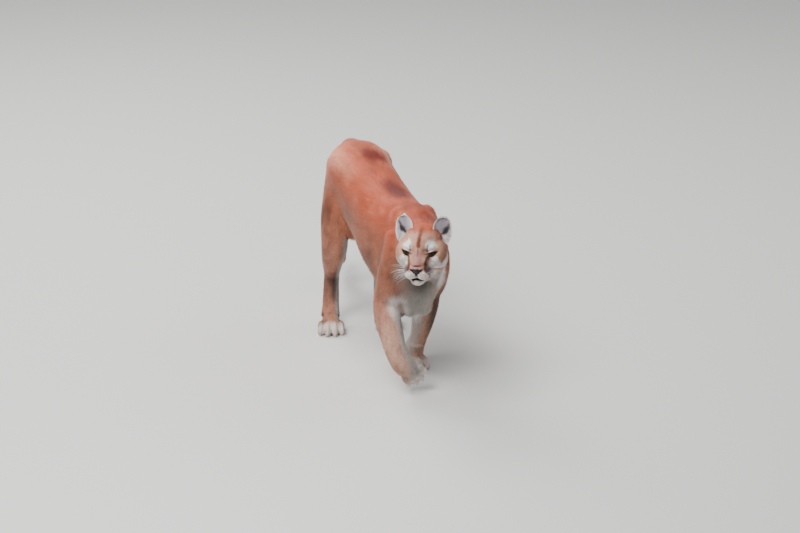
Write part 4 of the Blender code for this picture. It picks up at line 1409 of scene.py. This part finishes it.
def makeNose():
    surfaces = []
    for (forward, left, up), sizes in nose["shapes"]:
        for side in (1, -1) if left else (1,):
            centre = np.array(headPose["nose"]) + np.array([forward, side * left, up])
            surfaces.append(ball(fromHead(centre), sizes, headTurn.T, 32))
    made = fused("nosePad", surfaces, nose["cell"])
    points = pointsOf(made)
    times = relaxTimes(nose["softness"], nose["cell"])
    points = relaxed(points, edgesOf(made), np.full(len(points), 0.5), times)
    setPoints(made, points)
    local = mirrored(toHead(toAnimal(points)) - np.array(headPose["nose"]))
    nostril, _ = segmentDistance(local, curveThrough(np.array(nose["nostril"]), 6))
    cleft, _ = segmentDistance(local, nose["cleft"])
    sunk = nose["nostrilDepth"] * bell(nostril, 0, 0.0022) + 0.0012 * bell(cleft, 0, 0.0010)
    setPoints(made, points - normalsOf(made) * sunk[:, None])
    made.data.shade_smooth()
    rim = smoothStep(local[:, 2] + 0.1 * local[:, 1] - 0.15 * local[:, 0], 0.0066, 0.0092)
    colours = mixed(np.repeat(screen("noseDark")[None], len(points), 0), "nosePink", 0.9 * rim)
    under = 0.6 * smoothStep(-local[:, 2], 0.0, 0.006)
    setColours(made, mixed(colours, "black", np.maximum(bell(nostril, 0, 0.0026), under)))
    return made


# Eyes: a ball whose cornea bulges; rings are counted from the gaze
eyes = {
    "bulge": 0.0009,
    "pupil": 17.0,  # degrees from the gaze
    "iris": 37.0,
    "irisColour": (0.036, 0.021, 0.009),
    "irisEdge": (0.010, 0.006, 0.004),
    "whiteColour": (0.050, 0.032, 0.026),
}


def makeEye(side):
    angle = np.radians(np.concatenate([np.linspace(0.8, 60, 60), np.linspace(66, 174, 19)]))
    angle, turn = np.meshgrid(angle, fullTurn(96), indexing="ij")
    away = headPose["eyeRadius"] + eyes["bulge"] * bell(np.degrees(angle), 0, 20)
    points = fromHead((waysRound(angle, turn) * away[..., None]) @ eyeAxes(side) + eyeMiddle(side))
    points, faces = closedRings(points)
    made = newObject("eyeballLeft" if side > 0 else "eyeballRight", toFrame(points), faces)
    faceOutward(made)
    degrees = np.degrees(np.append(angle.ravel(), [0, math.pi]))
    around = np.append(turn.ravel(), [0, 0])
    fibres = cloudy(np.stack([np.cos(around), np.sin(around), degrees / 60], -1), 0.06, 9)
    iris = np.array(eyes["irisColour"]) * (0.65 + 0.7 * fibres[:, None])
    iris = iris * (0.75 + 0.6 * bell(degrees, eyes["pupil"] + 5, 6)[:, None])
    edge = smoothStep(degrees, eyes["iris"] - 7, eyes["iris"] - 1)[:, None]
    colours = iris + (np.array(eyes["irisEdge"]) - iris) * edge
    colours = colours * smoothStep(degrees, eyes["pupil"] - 1, eyes["pupil"] + 1)[:, None]
    outside = smoothStep(degrees, eyes["iris"], eyes["iris"] + 4)[:, None]
    setColours(made, colours + (np.array(eyes["whiteColour"]) - colours) * outside)
    return made


# Whiskers: tapered tubes that leave the pads in rows and droop
whiskers = {
    "rows": 4,
    "each": 6,
    "first": (0.112, 0.024, -0.034),
    "rowLength": (-0.034, 0.014, 0),
    "rowDrop": (0, 0, -0.0058),
    "radius": 0.00034,
    "length": (0.045, 0.085),
    "sag": (-0.25, 0, -0.38),
    "sides": 6,
}


def makeWhiskers():
    surfaces = []
    for other, row, k in np.ndindex(2, whiskers["rows"], whiskers["each"]):
        back = k / (whiskers["each"] - 1)
        start = np.array(whiskers["first"]) + np.array(whiskers["rowLength"]) * back
        start = start + np.array(whiskers["rowDrop"]) * row
        length = blend(*whiskers["length"], 0.25 + 0.75 * back) * draw.uniform(0.8, 1.08)
        way = unit(np.array([0.10 - 0.75 * back, 1.0, 0.10 - 0.16 * row + draw.normal(0, 0.06)]))
        t = np.linspace(0, 1, 9)[:, None]
        path = start + way * t * length + np.array(whiskers["sag"]) * length * t**2
        path = path * np.array([1, 1 - 2 * other, 1])
        radius = whiskers["radius"] * (1 - 0.9 * t)
        rows = np.concatenate([fromHead(path), radius, radius], 1)
        surfaces.append(tube(rows, whiskers["sides"], headTurn.T[2]))
    points, faces = joined(surfaces)
    made = newObject("whiskers", toFrame(points), faces)
    faceOutward(made)
    return made


nosePad = makeNose()
eyeballs = [makeEye(side) for side in (1, -1)]
whiskerPiece = makeWhiskers()
print("nose, eyes and whiskers")


# Finishes


def newMaterial(name, roughness, **sockets):
    material = bpy.data.materials.new(name)
    material.use_nodes = True
    shader = material.node_tree.nodes["Principled BSDF"]
    shader.inputs["Roughness"].default_value = roughness
    for socket, value in sockets.items():
        shader.inputs[socket.replace("_", " ")].default_value = value
    return material, shader


def objectNoise(material, size, detail):
    nodes = material.node_tree.nodes
    where = nodes.new("ShaderNodeTexCoord")
    noise = nodes.new("ShaderNodeTexNoise")
    noise.inputs["Scale"].default_value = size
    noise.inputs["Detail"].default_value = detail
    material.node_tree.links.new(where.outputs["Object"], noise.inputs["Vector"])
    return noise


def speckled(name, roughness, size, low, high, bump=None, **sockets):
    # the coat's colour attribute times a fine noise, with a bump from the same noise
    material, shader = newMaterial(name, roughness, **sockets)
    nodes, links = material.node_tree.nodes, material.node_tree.links
    colour = nodes.new("ShaderNodeAttribute")
    colour.attribute_name = "coatColour"
    noise = objectNoise(material, size, 4.0)
    spread = nodes.new("ShaderNodeMapRange")
    spread.inputs["To Min"].default_value = low
    spread.inputs["To Max"].default_value = high
    links.new(noise.outputs["Fac"], spread.inputs["Value"])
    tint = nodes.new("ShaderNodeMix")
    tint.data_type = "RGBA"
    tint.blend_type = "MULTIPLY"
    tint.inputs["Factor"].default_value = 1.0
    links.new(colour.outputs["Color"], tint.inputs["A"])
    links.new(spread.outputs["Result"], tint.inputs["B"])
    links.new(tint.outputs["Result"], shader.inputs["Base Color"])
    if bump:
        relief = nodes.new("ShaderNodeBump")
        relief.inputs["Strength"].default_value = bump[0]
        relief.inputs["Distance"].default_value = bump[1]
        links.new(noise.outputs["Fac"], relief.inputs["Height"])
        links.new(relief.outputs["Normal"], shader.inputs["Normal"])
    return material


def ramped(name, roughness, size, dark, light, **sockets):
    # a noise between two colours
    material, shader = newMaterial(name, roughness, **sockets)
    links = material.node_tree.links
    ramp = material.node_tree.nodes.new("ShaderNodeValToRGB")
    ramp.color_ramp.elements[0].color = dark
    ramp.color_ramp.elements[1].color = light
    links.new(objectNoise(material, size, 2.0).outputs["Fac"], ramp.inputs["Fac"])
    links.new(ramp.outputs["Color"], shader.inputs["Base Color"])
    return material


skinFinish = speckled("skinFinish", 0.9, 420.0, 0.6, 1.3, (0.6, 0.0012), Specular_IOR_Level=0.2)
coatFinish = speckled(
    "coatFinish", 0.68, 160.0, 0.82, 1.18, Specular_IOR_Level=0.2, Sheen_Weight=0.08, Sheen_Roughness=0.4
)
noseFinish = speckled("noseFinish", 0.48, 900.0, 0.7, 1.3, (0.5, 0.0006), Specular_IOR_Level=0.35)
eyeFinish = speckled(
    "eyeFinish", 0.6, 300.0, 0.9, 1.1, Specular_IOR_Level=0.05, Coat_Weight=0.4, Coat_Roughness=0.02
)
whiskerFinish = ramped(
    "whiskerFinish", 0.4, 60.0, (0.62, 0.58, 0.55, 1), (0.88, 0.86, 0.84, 1), Specular_IOR_Level=0.5
)
skinNodes = [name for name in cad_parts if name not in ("eye_left", "eye_right", "nose")]


def declare(piece, finish, slot, *nodes):
    piece.data.materials.append(finish)
    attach(piece, "root")
    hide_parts(*nodes)


declare(skin, skinFinish, "coat", *skinNodes)
for piece in coatPieces:
    declare(piece, coatFinish, "coat", *skinNodes)
declare(nosePad, noseFinish, "nose_leather", "nose")
for piece, node in zip(eyeballs, ("eye_left", "eye_right")):
    declare(piece, eyeFinish, "eye", node)
declare(whiskerPiece, whiskerFinish, "coat", "head")


# Studio: floor, light and camera
studio = {
    "floor": 12.0,
    "floorColour": (0.62, 0.61, 0.59, 1),
    "world": 0.24,
    "lights": (
        # from (forward, left, up), size, power
        ((2.6, -2.4, 4.2), 2.6, 400.0),
        ((-0.5, 3.6, 3.0), 3.0, 60.0),
        ((-2.6, -1.0, 3.6), 2.6, 230.0),
    ),
    "azimuth": -17.5,
    "elevation": 19.0,
    "distance": 20.0,
    "lens": 267.3,
    "aim": (0.45, 0.0074, 0.355),
    "lookAt": (0.35, 0.0, 0.35),  # where the lights point
}


def makeStudio():
    half = studio["floor"] / 2
    corners = [(-half, -half, 0), (half, -half, 0), (half, half, 0), (-half, half, 0)]
    floor = newObject("floor", corners, [(0, 1, 2, 3)])
    material, shader = newMaterial("floorFinish", 0.8)
    shader.inputs["Base Color"].default_value = studio["floorColour"]
    floor.data.materials.append(material)
    for place, size, power in studio["lights"]:
        light = bpy.data.lights.new("softbox", "AREA")
        light.size = size
        light.energy = power
        made = placed("softbox", light)
        made.location = toFrame(place)
        turn = made.location - Vector(toFrame(studio["lookAt"]))
        made.rotation_euler = turn.to_track_quat("Z", "Y").to_euler()
    world = bpy.data.worlds.new("world")
    world.use_nodes = True
    world.node_tree.nodes["Background"].inputs["Color"].default_value = (0.9, 0.93, 1.0, 1)
    world.node_tree.nodes["Background"].inputs["Strength"].default_value = studio["world"]
    bpy.context.scene.world = world


def makeCamera():
    ca, sa = cosSin(studio["azimuth"])
    ce, se = cosSin(studio["elevation"])
    back = Vector((sa * ce, -ca * ce, se))
    camera = bpy.data.cameras.new("camera")
    camera.sensor_width = 36.0
    camera.lens = studio["lens"]
    camera.clip_end = 100.0
    made = placed("camera", camera)
    made.location = Vector(toFrame(studio["aim"])) + back * studio["distance"]
    made.rotation_euler = (-back).to_track_quat("-Z", "Y").to_euler()
    bpy.context.scene.camera = made


makeStudio()
makeCamera()
print("done")
